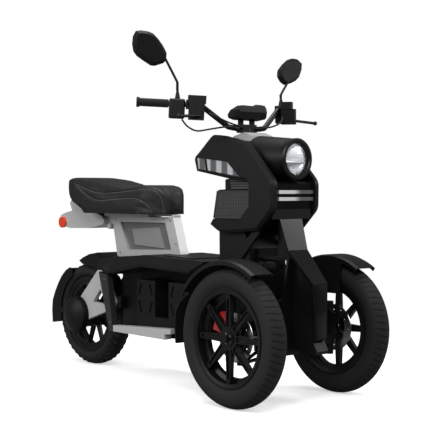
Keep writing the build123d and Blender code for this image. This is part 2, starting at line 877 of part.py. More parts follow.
def rear_rim():
    half_width = rear_tyre_width / 2 - 17
    rim = rim_barrel(rear_flange_radius, half_width)
    hub = Rot(0, 90, 0) * Cylinder(62, 108)
    tip = rear_flange_radius - flange_height - rim_wall + 2
    blade = side_plate([(-14, 56), (-6, 56), (-3, tip), (-9, tip)], 0, 12)
    for k in range(9):
        rim += Rot(k * 40, 0, 0) * blade
        rim += Rot(k * 40, 0, 0) * mirror(blade, about=Plane.XZ)
    rim += hub
    return rim - Rot(0, 90, 0) * Cylinder(rear_axle_radius + running_gap, 200)


def rear_wheel():
    place = Pos(0, wheelbase, rear_tyre_radius)
    bead = rear_flange_radius - flange_height + tyre_gap
    bead_half_width = rear_tyre_width / 2 - 17 - tyre_gap
    save("rear_tyre", place * tyre(rear_tyre_width, rear_tyre_radius, bead, bead_half_width))
    save("rear_rim", place * rear_rim())


def rear_mudguards():
    """The hump over the tyre behind the deck, and the lower guard on its two stays."""
    centre = Pos(0, wheelbase, rear_axle_level)
    inner = rear_tyre_width / 2 + side_clearance
    outer = inner + 5
    tyre_space = centre * Rot(0, 90, 0) * Cylinder(rear_tyre_radius + 6, 2 * inner)
    rim_space = []
    for angle in range(61, -16, -15):
        turn = math.radians(angle)
        point = (wheelbase + guard_edge * math.cos(turn), rear_axle_level + guard_edge * math.sin(turn))
        rim_space.append(point)
    low = side_plate(guard_back + rim_space, -outer, outer) - tyre_space
    stay = side_plate([(1340, 228), (1340, 256), (1530, 262), (1530, 234)], outer - 0.5, outer + 4)
    spacer = block((outer, swingarm_x[0] - seat_gap), (1336, 1368), (230, 254))
    for bracket in (stay + spacer, mirrored(stay + spacer)):
        low += bracket
    hump = side_plate(hump_top + [(1350, 470), (1046.3, 480)], -outer, outer)
    hump -= centre * Rot(0, 90, 0) * Cylinder(rear_tyre_radius + 10, 300)
    skirt = side_plate(
        [(1344, 496), (1322, 482), (1231, 470), (1191, 444), (1160, 440), (1120, 500), (1200, 530),
         (1300, 515)],
        inner,
        outer + 5,
    )
    return [low, hump + skirt + mirrored(skirt)]


# Seat and tail

seat_hinge = (697, 718)
hinge_pin_radius = 3.0
hinge_eye_radius = 6.0
ear_inner = 12.0
tower_top = 712.0
recess_depth = 12.0
tower_window = [(1077, 686), (744, 688), (702, 570), (1016, 559)]
insert_outline = [(993, 655), (793, 667), (754, 574), (970, 583)]
cushion_bottom = 726.0


def seat_tower():
    """The bright pylon under the seat, recessed on both sides, with the seat's hinge on top."""
    foot = [(636, height_on(deck_top, 636))] + [point for point in deck_top if point[0] > 636]
    foot += [(1046.3, 520), (1100, 527.3), (1105, 545)]
    outline = foot + [(1142, tower_top), (690, tower_top), (640, 566)]
    tower = side_plate(outline, -tower_half_width, tower_half_width)
    recess = side_plate(tower_window, tower_half_width - recess_depth, tower_half_width + 5)
    tower -= recess
    tower -= mirrored(recess)
    y, z = seat_hinge
    for side in (-1, 1):
        low, high = sorted((side * ear_inner, side * tower_half_width))
        tower += block((low, high), (y - 6, y + 6), (tower_top - 3, z))
        tower += rod((low, y, z), (high, y, z), hinge_eye_radius)
    return tower + rod((-ear_inner, y, z), (ear_inner, y, z), hinge_pin_radius)


def tower_inserts():
    """The plates that lie in the tower's recesses."""
    floor = tower_half_width - recess_depth
    insert = side_plate(insert_outline, floor, floor + 7)
    return [insert, mirrored(insert)]


tail_half = 50.0
tail_outline = [
    (1533, 710), (1489, 723), (1436, 733), (1259, 733), (1190, 711.7), (1170, 694), (1178, 673), (1284, 652),
    (1454, 648), (1507, 656),
]


def tail_frame():
    """The tail wedge, its tongue to the tower with a round knob, and two brackets to the seat."""
    tail = side_plate(tail_outline, -tail_half, tail_half)
    tongue = side_plate([(1142.5, 711.7), (1135, 678), (1150, 664), (1184, 676), (1200, 711.7)], -20, 20)
    knob = rod((-34, 1152, 664), (34, 1152, 664), 13)
    bracket = side_plate([(1438, 800), (1300, 729), (1390, 708), (1442, 730), (1462, 770)], 32, 44)
    return tail + tongue + knob + bracket + mirrored(bracket)


def rear_lamps():
    """A round reflector on each side of the tail, and the lamp across its rear end."""
    side = rod((tail_half + seat_gap, 1508, 676), (tail_half + 12, 1508, 676), 27)
    rear = side_plate([(1533.6, 709), (1545, 704), (1520, 658), (1508, 656.5)], -34, 34)
    return [side, mirrored(side), rear]


def seat_base():
    """The seat's floor plate on the tower's top, with a strap forward to the hinge eye."""
    low = tower_top + seat_gap
    high = cushion_bottom - seat_gap
    y, z = seat_hinge
    base = block((-40, 40), (846, 1180), (low, high))
    strap = block((-ear_inner + 0.5, ear_inner - 0.5), (y, 850), (z - 2, high))
    eye = rod((-ear_inner + 0.5, y, z), (ear_inner - 0.5, y, z), hinge_eye_radius)
    return base + strap + eye - rod((-70, y, z), (70, y, z), hinge_pin_radius + running_gap)


def seat_cushion():
    """The stepped cushion: its side outline, narrowed in plan to a rounded nose and tail."""
    top = [(685, 766), (712, 822), (810, 850), (942, 844), (1100, 868), (1288, 886), (1400, 881), (1447, 864)]
    bottom = [(1447, 864), (1440, 842), (1330, 776), (1225, cushion_bottom)]
    bottom += [(702, cushion_bottom), (685, 742), (685, 766)]
    edges = Spline(*top).edges() + Polyline(*bottom).edges()
    body = extrude(side_plane(-seat_half_width) * make_face(edges), 2 * seat_half_width)
    plan = Pos(0, 860) * Ellipse(110, 175) + Pos(0, 1300) * Ellipse(130, 147)
    plan += polygon_face([(-110, 860), (110, 860), (130, 1300), (-130, 1300)])
    return body & extrude(Plane.XY.offset(700) * plan, 250)


# Handlebar

def bar_route():
    left = [(60, 236, 1083), (100, 238, 1088), (215, 275, 1172), (412, 428, 1184)]
    right = [(-x, y, z) for x, y, z in left]
    return list(reversed(right)) + left


def bar_clamp(gap=0.0):
    """The block that clamps the bar on the stem; with a gap, the space it takes."""
    return block((-42 - gap, 42 + gap), (220 - gap, 252 + gap), (1066 - gap, 1100 + gap))


def handlebar():
    points = bar_route()
    path = FilletPolyline(*points, radius=18)
    bar = sweep(Plane(origin=path @ 0, z_dir=path % 0) * Circle(bar_radius), path=path)
    return bar + steering_stem() + bar_clamp()


bar_end = Vector(412, 428, 1184)
bar_bend = Vector(215, 275, 1172)


def along_bar(distance):
    """A plane across the left bar, so far in from its end: backward is x, up is y."""
    outward = (bar_end - bar_bend).normalized()
    backward = Vector(-outward.Y, outward.X, 0).normalized()
    return Plane(origin=bar_end - outward * distance, x_dir=backward, z_dir=outward)


def bar_bore():
    """The space of the bar inside what is clamped on it."""
    return extrude(along_bar(240) * Circle(bar_radius + running_gap), 240 + seat_gap)


def on_bar(distance, length, forward, up):
    """A block clamped on the bar from one distance, with its forward and upward reach."""
    size = Pos(-(forward[0] + forward[1]) / 2, (up[0] + up[1]) / 2, 0) * Rectangle(
        forward[1] - forward[0], up[1] - up[0]
    )
    return extrude(along_bar(distance) * size, length)


def grips():
    grip = extrude(along_bar(grip_length) * Circle(grip_radius), grip_length)
    grip += extrude(along_bar(6) * Circle(20), 12)
    grip -= bar_bore()
    return [grip, mirrored(grip)]


def switch_housings():
    house = on_bar(188, 188 - grip_length - 2, (-22, 24), (-58, 20))
    house = chamfer(house.edges(), 5) - bar_bore()
    return [house, mirrored(house)]


def brake_controls():
    """Each side's lever, its pivot block, the fluid cup and their clamp."""
    lever = rod((252, 222, 1126), (376, 214, 1119), 6)
    lever += Pos(378, 214, 1119) * Sphere(9)
    clamp = on_bar(222, 30, (-18, 22), (-18, 18))
    pivot = on_bar(264, 62, (16, 72), (-62, 4))
    cup = on_bar(270, 72, (18, 58), (2, 34))
    unit = clamp + pivot + cup + lever
    unit -= bar_bore()
    return [unit, mirrored(unit)]


right_mirror = [
    (-77, 59), (-57, 62), (-27, 59), (-7, 52), (15, 31), (35, 5), (50, -22), (48, -52), (35, -64), (2, -75),
    (-15, -74), (-48, -55), (-73, -39), (-87, -21), (-92, 7), (-89, 37),
]
left_mirror = [
    (-67, 4), (-41, 29), (-7, 52), (24, 61), (55, 59), (85, 43), (82, 15), (65, -18), (41, -36), (7, -49),
    (-27, -58), (-53, -47), (-72, -26), (-72, -9),
]


def mirror_head(outline, centre, rearward):
    """A shell with a flat rear face and a bevelled front, turned as its rider set it."""
    across = Vector(rearward[1], -rearward[0], 0)
    plane = Plane(origin=centre, x_dir=across, z_dir=-Vector(*rearward))
    return bevelled(plane.offset(-8), polygon_face(outline), 12, 10, 12)


def mirror_stem(base, bend_height, joint):
    """A thin bent stem from the housing's top to the head, with a boot at its foot."""
    foot = (base[0], base[1], base[2] + 1)
    path = FilletPolyline(foot, (base[0], base[1], bend_height), joint, radius=20)
    stem = sweep(Plane(origin=path @ 0, z_dir=path % 0) * Circle(5), path=path)
    return stem + Pos(base[0], base[1], base[2] + 14) * Cone(11, 6, 26)


def mirrors():
    """The two mirrors, each turned its own way."""
    x, y, z = along_bar(158).origin
    stand = z + 20 + seat_gap
    right = mirror_stem((-x, y, stand), 1262, (-327, 366, 1365))
    right += mirror_head(right_mirror, (-365.4, 379.3, 1401.9), (0.3, 0.954, 0))
    left = mirror_stem((x, y, stand), 1245, (365.6, 360, 1315))
    left += mirror_head(left_mirror, (369.6, 365.1, 1350.0), (-0.1, 0.995, 0))
    return [right, left]


def instrument():
    """The two-lobed display, its top sloping down towards the rider, on two legs."""
    side = side_plate(
        [(270, 1140), (236, 1176), (224, 1184), (200, 1178), (194, 1150), (200, 1122), (240, 1116),
         (266, 1126)],
        -80,
        80,
    )
    front = front_plate(
        [(-75, 1130), (-68, 1117), (60, 1116), (75, 1128), (75, 1166), (66, 1183), (38, 1183), (24, 1174),
         (-52, 1176), (-75, 1158)],
        150,
        300,
    )
    display = side & front
    for x in (-34, 28):
        display += block((x - 6, x + 6), (224, 246), (1100 + seat_gap, 1125))
    return display


hose_radius = 3.5


def cord(points):
    """A held hose: straight runs with arcs between them, as large as the runs allow."""
    points = [Vector(*p) for p in points]
    radii = []
    for before, at, after in zip(points, points[1:], points[2:]):
        shorter = min((at - before).length, (after - at).length)
        turn = math.radians((at - before).get_angle(after - at))
        radii.append(0.45 * shorter / math.tan(turn / 2))
    path = FilletPolyline(*points, radius=radii)
    hose = sweep(Plane(origin=path @ 0, z_dir=path % 0) * Circle(hose_radius), path=path)
    print(
        "cord length", round(path.length, 1), "radii", [round(r) for r in radii],
        "volume ratio", round(hose.volume / (path.length * math.pi * hose_radius**2), 4),
    )
    return hose


def control_cables():
    """A brake hose from each control to the clamp, and the right grip's throttle cable."""
    brake = cord(
        [(203, 236, 1139), (180, 212, 1122), (140, 196, 1104), (96, 190, 1092), (58, 196, 1086),
         (34, 219.6, 1084)]
    )
    throttle = [
        (-264, 333, 1116), (-250, 318, 1088), (-224, 292, 1067), (-178, 258, 1077), (-128, 228, 1087),
        (-84, 213, 1085), (-42.4, 224, 1073),
    ]
    clamp = bar_clamp(seat_gap)
    return [brake - clamp, mirrored(brake) - clamp, cord(throttle) - clamp]


for make in (front_wheels, knuckles, steering_links, front_suspension, rear_wheel):
    make()
save("main_frame", main_frame())
save("deck_body", deck_body())
save("side_posts", *side_posts())
save("sills", *sills())
save("battery_blocks", *battery_blocks())
save("belly_tray", belly_tray())
save("splash_guards", *splash_guards())
save("leg_column", *leg_column())
save("side_fairings", *side_fairings())
save("front_lenses", *front_lenses())
save("head_core", head_core())
save("cowl_cap", cowl_cap())
save("side_grilles", *side_grilles())
for name, piece in zip(("headlight_barrel", "headlight_ring", "headlight_lens"), headlight()):
    save(name, piece)
save("face_panel", face_panel())
save("nose_strut", nose_strut())
save("keel", keel())
save("swingarm", swingarm())
save("hub_covers", *hub_covers())
save("rear_mudguards", *rear_mudguards())
save("seat_tower", seat_tower())
save("tower_inserts", *tower_inserts())
save("tail_frame", tail_frame())
save("rear_lamps", *rear_lamps())
save("seat_base", seat_base())
save("seat_cushion", seat_cushion())
save("handlebar", handlebar())
save("grips", *grips())
save("switch_housings", *switch_housings())
save("brake_controls", *brake_controls())
save("mirrors", *mirrors())
save("instrument", instrument())
save("control_cables", *control_cables())
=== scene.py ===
import json
import math

import bpy
from mathutils import Matrix, Vector
from mathutils.bvhtree import BVHTree
from mathutils.kdtree import KDTree


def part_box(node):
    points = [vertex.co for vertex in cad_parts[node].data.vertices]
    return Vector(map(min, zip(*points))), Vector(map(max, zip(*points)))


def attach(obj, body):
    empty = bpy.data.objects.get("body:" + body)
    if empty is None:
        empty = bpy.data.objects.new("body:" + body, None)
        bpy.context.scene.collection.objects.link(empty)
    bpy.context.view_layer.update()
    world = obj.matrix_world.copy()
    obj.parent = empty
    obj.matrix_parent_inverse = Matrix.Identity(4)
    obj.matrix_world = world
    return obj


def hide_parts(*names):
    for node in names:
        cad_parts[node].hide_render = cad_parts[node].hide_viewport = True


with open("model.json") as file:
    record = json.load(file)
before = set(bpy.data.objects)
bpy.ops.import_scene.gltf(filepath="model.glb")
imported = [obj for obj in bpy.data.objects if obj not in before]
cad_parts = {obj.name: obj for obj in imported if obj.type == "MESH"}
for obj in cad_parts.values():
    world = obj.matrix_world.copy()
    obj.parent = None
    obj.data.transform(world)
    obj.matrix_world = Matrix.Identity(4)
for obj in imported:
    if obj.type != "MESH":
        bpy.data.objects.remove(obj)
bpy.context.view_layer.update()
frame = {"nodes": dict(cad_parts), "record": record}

nodes = frame["nodes"]

# Camera at the photograph's place
focal_pixels = 1160.86
picture_pixels = 440.0
view_target = Vector((0.0, -0.258, 0.7067))
view_azimuth = math.radians(-41.19)
view_rise = math.radians(1.47)
view_distance = 4.8896


def place_camera():
    sensor = 36.0
    away = Vector(
        (
            math.sin(view_azimuth) * math.cos(view_rise),
            -math.cos(view_azimuth) * math.cos(view_rise),
            math.sin(view_rise),
        )
    )
    data = bpy.data.cameras.new("view_camera")
    data.sensor_width = sensor
    data.lens = focal_pixels * sensor / picture_pixels
    data.clip_end = 100.0
    camera = bpy.data.objects.new("view_camera", data)
    camera.location = view_target + away * view_distance
    camera.rotation_euler = away.to_track_quat("Z", "Y").to_euler()
    bpy.context.collection.objects.link(camera)
    bpy.context.scene.camera = camera


# Shader helpers

def new_material(name):
    material = bpy.data.materials.new(name)
    material.use_nodes = True
    tree = material.node_tree
    surface = tree.nodes["Principled BSDF"]
    return material, tree, surface


def group_sockets(group, inputs, outputs):
    for name, kind, value in inputs:
        socket = group.interface.new_socket(name=name, in_out="INPUT", socket_type=kind)
        socket.default_value = value
    for name, kind in outputs:
        group.interface.new_socket(name=name, in_out="OUTPUT", socket_type=kind)
    return group.nodes.new("NodeGroupInput"), group.nodes.new("NodeGroupOutput")


def make_grain_group():
    """Fine moulded or painted grain: a height, a roughness and a slightly varied colour."""
    group = bpy.data.node_groups.new("surface_grain", "ShaderNodeTree")
    source, result = group_sockets(
        group,
        [
            ("Colour", "NodeSocketColor", (0.1, 0.1, 0.1, 1.0)),
            ("Grain Scale", "NodeSocketFloat", 900.0),
            ("Grain Depth", "NodeSocketFloat", 0.1),
            ("Cloud Scale", "NodeSocketFloat", 6.0),
            ("Cloud Amount", "NodeSocketFloat", 0.15),
            ("Roughness", "NodeSocketFloat", 0.5),
            ("Roughness Spread", "NodeSocketFloat", 0.1),
        ],
        [("Colour", "NodeSocketColor"), ("Roughness", "NodeSocketFloat"), ("Normal", "NodeSocketVector")],
    )
    nodes_, links = group.nodes, group.links
    place = nodes_.new("ShaderNodeTexCoord")
    grain = nodes_.new("ShaderNodeTexNoise")
    grain.inputs["Detail"].default_value = 3.0
    cloud = nodes_.new("ShaderNodeTexNoise")
    cloud.inputs["Detail"].default_value = 4.0
    links.new(place.outputs["Object"], grain.inputs["Vector"])
    links.new(place.outputs["Object"], cloud.inputs["Vector"])
    links.new(source.outputs["Grain Scale"], grain.inputs["Scale"])
    links.new(source.outputs["Cloud Scale"], cloud.inputs["Scale"])
    centred = nodes_.new("ShaderNodeMath")
    centred.operation = "SUBTRACT"
    centred.inputs[1].default_value = 0.5
    links.new(cloud.outputs["Fac"], centred.inputs[0])
    amount = nodes_.new("ShaderNodeMath")
    amount.operation = "MULTIPLY_ADD"
    amount.inputs[2].default_value = 1.0
    doubled = nodes_.new("ShaderNodeMath")
    doubled.operation = "MULTIPLY"
    doubled.inputs[1].default_value = 2.0
    links.new(source.outputs["Cloud Amount"], doubled.inputs[0])
    links.new(centred.outputs[0], amount.inputs[0])
    links.new(doubled.outputs[0], amount.inputs[1])
    shade = nodes_.new("ShaderNodeVectorMath")
    shade.operation = "SCALE"
    links.new(source.outputs["Colour"], shade.inputs[0])
    links.new(amount.outputs[0], shade.inputs["Scale"])
    links.new(shade.outputs[0], result.inputs["Colour"])
    rough = nodes_.new("ShaderNodeMath")
    rough.operation = "MULTIPLY_ADD"
    links.new(centred.outputs[0], rough.inputs[0])
    links.new(source.outputs["Roughness Spread"], rough.inputs[1])
    links.new(source.outputs["Roughness"], rough.inputs[2])
    links.new(rough.outputs[0], result.inputs["Roughness"])
    bump = nodes_.new("ShaderNodeBump")
    bump.inputs["Distance"].default_value = 0.0005
    links.new(source.outputs["Grain Depth"], bump.inputs["Strength"])
    links.new(grain.outputs["Fac"], bump.inputs["Height"])
    links.new(bump.outputs["Normal"], result.inputs["Normal"])
    return group


grain_group = make_grain_group()


def grained(name, colour, roughness, metallic=0.0, scale=900.0, depth=0.15, cloud=0.12, spread=0.15,
            coat=0.0, coat_roughness=0.1, specular=0.5):
    """A painted, moulded or metal finish with fine grain and faint clouding."""
    material, tree, surface = new_material(name)
    grain = tree.nodes.new("ShaderNodeGroup")
    grain.node_tree = grain_group
    grain.inputs["Colour"].default_value = (*colour, 1.0)
    grain.inputs["Grain Scale"].default_value = scale
    grain.inputs["Grain Depth"].default_value = depth
    grain.inputs["Cloud Amount"].default_value = cloud
    grain.inputs["Roughness"].default_value = roughness
    grain.inputs["Roughness Spread"].default_value = spread
    tree.links.new(grain.outputs["Colour"], surface.inputs["Base Color"])
    tree.links.new(grain.outputs["Roughness"], surface.inputs["Roughness"])
    tree.links.new(grain.outputs["Normal"], surface.inputs["Normal"])
    surface.inputs["Metallic"].default_value = metallic
    surface.inputs["Coat Weight"].default_value = coat
    surface.inputs["Coat Roughness"].default_value = coat_roughness
    surface.inputs["Specular IOR Level"].default_value = specular
    return material


black_moulding = grained(
    "black_moulding", (0.004, 0.004, 0.0043), 0.48, scale=1400.0, depth=0.12, specular=0.2
)
black_paint = grained("black_paint", (0.0035, 0.0035, 0.0038), 0.36, specular=0.24)
gloss_black = grained("gloss_black", (0.003, 0.003, 0.0035), 0.2, depth=0.02, specular=0.32)
silver_paint = grained(
    "silver_paint", (0.5, 0.5, 0.51), 0.36, metallic=0.2, scale=2200.0, depth=0.05, cloud=0.03, spread=0.08
)
grey_moulding = grained("grey_moulding", (0.16, 0.16, 0.165), 0.5)
post_grey = grained("post_grey", (0.03, 0.03, 0.031), 0.4, metallic=0.3, scale=2000.0, depth=0.06)
insert_grey = grained("insert_grey", (0.24, 0.24, 0.245), 0.45, scale=1800.0)
disc_steel = grained("disc_steel", (0.42, 0.42, 0.43), 0.3, metallic=1.0, scale=300.0)
caliper_red = grained("caliper_red", (0.42, 0.015, 0.012), 0.3, coat=0.4)
lamp_orange = grained("lamp_orange", (0.72, 0.05, 0.012), 0.15, depth=0.02, coat=0.6)
lamp_white = grained("lamp_white", (0.62, 0.63, 0.65), 0.12, depth=0.02, coat=0.8)
reflector_silver = grained("reflector_silver", (0.8, 0.8, 0.81), 0.18, metallic=0.9, depth=0.03, cloud=0.02)
mirror_silver = grained(
    "mirror_silver", (0.85, 0.86, 0.88), 0.03, metallic=1.0, depth=0.0, cloud=0.0, spread=0.0
)
thread_grey = grained("thread_grey", (0.2, 0.2, 0.2), 0.7, scale=3000.0, depth=0.4)
bolt_steel = grained("bolt_steel", (0.3, 0.3, 0.31), 0.35, metallic=1.0, scale=800.0)
grip_rubber = grained("grip_rubber", (0.009, 0.009, 0.009), 0.75, scale=700.0, depth=0.3, specular=0.25)
cable_rubber = grained("cable_rubber", (0.008, 0.008, 0.008), 0.55, scale=1500.0, depth=0.2, specular=0.3)


def wired(tree, kind, operation=None, **values):
    """A shader node with its operation and its plain input values, by place in the socket list."""
    node = tree.nodes.new(kind)
    if operation:
        node.operation = operation
    for place, value in values.items():
        node.inputs[int(place[1:])].default_value = value
    return node


def make_leather_group():
    """Leather or vinyl: small rounded cells with fine creases between them."""
    group = bpy.data.node_groups.new("leather_cells", "ShaderNodeTree")
    source, result = group_sockets(
        group,
        [("Cell Scale", "NodeSocketFloat", 300.0), ("Depth", "NodeSocketFloat", 0.3)],
        [("Normal", "NodeSocketVector"), ("Crease", "NodeSocketFloat")],
    )
    place = group.nodes.new("ShaderNodeTexCoord")
    cells = group.nodes.new("ShaderNodeTexVoronoi")
    cells.feature = "DISTANCE_TO_EDGE"
    group.links.new(place.outputs["Object"], cells.inputs["Vector"])
    group.links.new(source.outputs["Cell Scale"], cells.inputs["Scale"])
    level = group.nodes.new("ShaderNodeMapRange")
    level.inputs["From Max"].default_value = 0.12
    group.links.new(cells.outputs["Distance"], level.inputs["Value"])
    bump = group.nodes.new("ShaderNodeBump")
    bump.inputs["Distance"].default_value = 0.0004
    group.links.new(source.outputs["Depth"], bump.inputs["Strength"])
    group.links.new(level.outputs["Result"], bump.inputs["Height"])
    group.links.new(bump.outputs["Normal"], result.inputs["Normal"])
    group.links.new(level.outputs["Result"], result.inputs["Crease"])
    return group


def make_seat_leather():
    material, tree, surface = new_material("seat_leather")
    cells = tree.nodes.new("ShaderNodeGroup")
    cells.node_tree = make_leather_group()
    cells.inputs["Cell Scale"].default_value = 340.0
    cells.inputs["Depth"].default_value = 0.35
    # Painted shade: the leather's creases darker than the middles of its cells.
    mix = tree.nodes.new("ShaderNodeMix")
    mix.data_type = "RGBA"
    mix.inputs["A"].default_value = (0.004, 0.004, 0.004, 1.0)
    mix.inputs["B"].default_value = (0.009, 0.009, 0.0093, 1.0)
    tree.links.new(cells.outputs["Crease"], mix.inputs["Factor"])
    tree.links.new(mix.outputs["Result"], surface.inputs["Base Color"])
    tree.links.new(cells.outputs["Normal"], surface.inputs["Normal"])
    surface.inputs["Roughness"].default_value = 0.5
    surface.inputs["Specular IOR Level"].default_value = 0.32
    return material


def make_tread_group():
    """Slanted sipes over a wheel's tread, by angle round its axle, and a thin raised ring on its side."""
    group = bpy.data.node_groups.new("tyre_tread", "ShaderNodeTree")
    source, result = group_sockets(
        group,
        [
            ("Middle", "NodeSocketVector", (0.0, 0.0, 0.0)),
            ("Sipes", "NodeSocketFloat", 60.0),
            ("Slant", "NodeSocketFloat", 60.0),
            ("Tread Radius", "NodeSocketFloat", 0.24),
            ("Band", "NodeSocketFloat", 0.19),
            ("Depth", "NodeSocketFloat", 0.6),
        ],
        [("Colour", "NodeSocketColor"), ("Roughness", "NodeSocketFloat"), ("Normal", "NodeSocketVector")],
    )
    link = group.links.new
    place = group.nodes.new("ShaderNodeTexCoord")
    offset = wired(group, "ShaderNodeVectorMath", "SUBTRACT")
    link(place.outputs["Object"], offset.inputs[0])
    link(source.outputs["Middle"], offset.inputs[1])
    parts = group.nodes.new("ShaderNodeSeparateXYZ")
    link(offset.outputs[0], parts.inputs[0])
    across = wired(group, "ShaderNodeMath", "ABSOLUTE")
    link(parts.outputs["X"], across.inputs[0])
    angle = wired(group, "ShaderNodeMath", "ARCTAN2")
    link(parts.outputs["Z"], angle.inputs[0])
    link(parts.outputs["Y"], angle.inputs[1])
    turns = wired(group, "ShaderNodeMath", "MULTIPLY")
    link(angle.outputs[0], turns.inputs[0])
    link(source.outputs["Sipes"], turns.inputs[1])
    slant = wired(group, "ShaderNodeMath", "MULTIPLY")
    link(across.outputs[0], slant.inputs[0])
    link(source.outputs["Slant"], slant.inputs[1])
    phase = wired(group, "ShaderNodeMath", "ADD")
    link(turns.outputs[0], phase.inputs[0])
    link(slant.outputs[0], phase.inputs[1])
    wave = wired(group, "ShaderNodeMath", "SINE")
    link(phase.outputs[0], wave.inputs[0])
    block = group.nodes.new("ShaderNodeMapRange")
    block.inputs["From Min"].default_value = -0.75
    block.inputs["From Max"].default_value = -0.45
    link(wave.outputs[0], block.inputs["Value"])
    flat = wired(group, "ShaderNodeCombineXYZ")
    link(parts.outputs["Y"], flat.inputs["Y"])
    link(parts.outputs["Z"], flat.inputs["Z"])
    radius = wired(group, "ShaderNodeVectorMath", "LENGTH")
    link(flat.outputs[0], radius.inputs[0])
    tread = group.nodes.new("ShaderNodeMapRange")
    link(radius.outputs["Value"], tread.inputs["Value"])
    link(source.outputs["Tread Radius"], tread.inputs["From Min"])
    above = wired(group, "ShaderNodeMath", "ADD", _1=0.004)
    link(source.outputs["Tread Radius"], above.inputs[0])
    link(above.outputs[0], tread.inputs["From Max"])
    hollow = wired(group, "ShaderNodeMath", "SUBTRACT", _0=1.0)
    link(block.outputs["Result"], hollow.inputs[1])
    cut = wired(group, "ShaderNodeMath", "MULTIPLY")
    link(hollow.outputs[0], cut.inputs[0])
    link(tread.outputs["Result"], cut.inputs[1])
    ridge = wired(group, "ShaderNodeMath", "SUBTRACT")
    link(radius.outputs["Value"], ridge.inputs[0])
    link(source.outputs["Band"], ridge.inputs[1])
    near = wired(group, "ShaderNodeMath", "ABSOLUTE")
    link(ridge.outputs[0], near.inputs[0])
    band = group.nodes.new("ShaderNodeMapRange")
    band.inputs["From Min"].default_value = 0.0008
    band.inputs["From Max"].default_value = 0.0016
    band.inputs["To Min"].default_value = 0.35
    band.inputs["To Max"].default_value = 0.0
    link(near.outputs[0], band.inputs["Value"])
    height = wired(group, "ShaderNodeMath", "SUBTRACT")
    link(band.outputs["Result"], height.inputs[0])
    link(cut.outputs[0], height.inputs[1])
    grain = group.nodes.new("ShaderNodeTexNoise")
    grain.inputs["Scale"].default_value = 420.0
    link(place.outputs["Object"], grain.inputs["Vector"])
    rough_height = wired(group, "ShaderNodeMath", "MULTIPLY_ADD", _1=0.12)
    link(grain.outputs["Fac"], rough_height.inputs[0])
    link(height.outputs[0], rough_height.inputs[2])
    bump = group.nodes.new("ShaderNodeBump")
    bump.inputs["Distance"].default_value = 0.003
    link(source.outputs["Depth"], bump.inputs["Strength"])
    link(rough_height.outputs[0], bump.inputs["Height"])
    link(bump.outputs["Normal"], result.inputs["Normal"])
    # Painted shade: the sipes' cuts darker than the tread blocks.
    colour = group.nodes.new("ShaderNodeMix")
    colour.data_type = "RGBA"
    colour.inputs["A"].default_value = (0.012, 0.012, 0.012, 1.0)
    colour.inputs["B"].default_value = (0.004, 0.004, 0.004, 1.0)
    link(cut.outputs[0], colour.inputs["Factor"])
    link(colour.outputs["Result"], result.inputs["Colour"])
    dusty = wired(group, "ShaderNodeMath", "MULTIPLY_ADD", _1=0.2, _2=0.65)
    link(grain.outputs["Fac"], dusty.inputs[0])
    link(dusty.outputs[0], result.inputs["Roughness"])
    return group


tread_group = make_tread_group()


def tyre_rubber(name, middle, sipes, slant, tread_radius, band, depth):
    material, tree, surface = new_material(name)
    tread = tree.nodes.new("ShaderNodeGroup")
    tread.node_tree = tread_group
    for label, value in (
        ("Middle", middle), ("Sipes", sipes), ("Slant", slant), ("Tread Radius", tread_radius),
        ("Band", band), ("Depth", depth),
    ):
        tread.inputs[label].default_value = value
    tree.links.new(tread.outputs["Colour"], surface.inputs["Base Color"])
    tree.links.new(tread.outputs["Roughness"], surface.inputs["Roughness"])
    tree.links.new(tread.outputs["Normal"], surface.inputs["Normal"])
    surface.inputs["Specular IOR Level"].default_value = 0.3
    return material


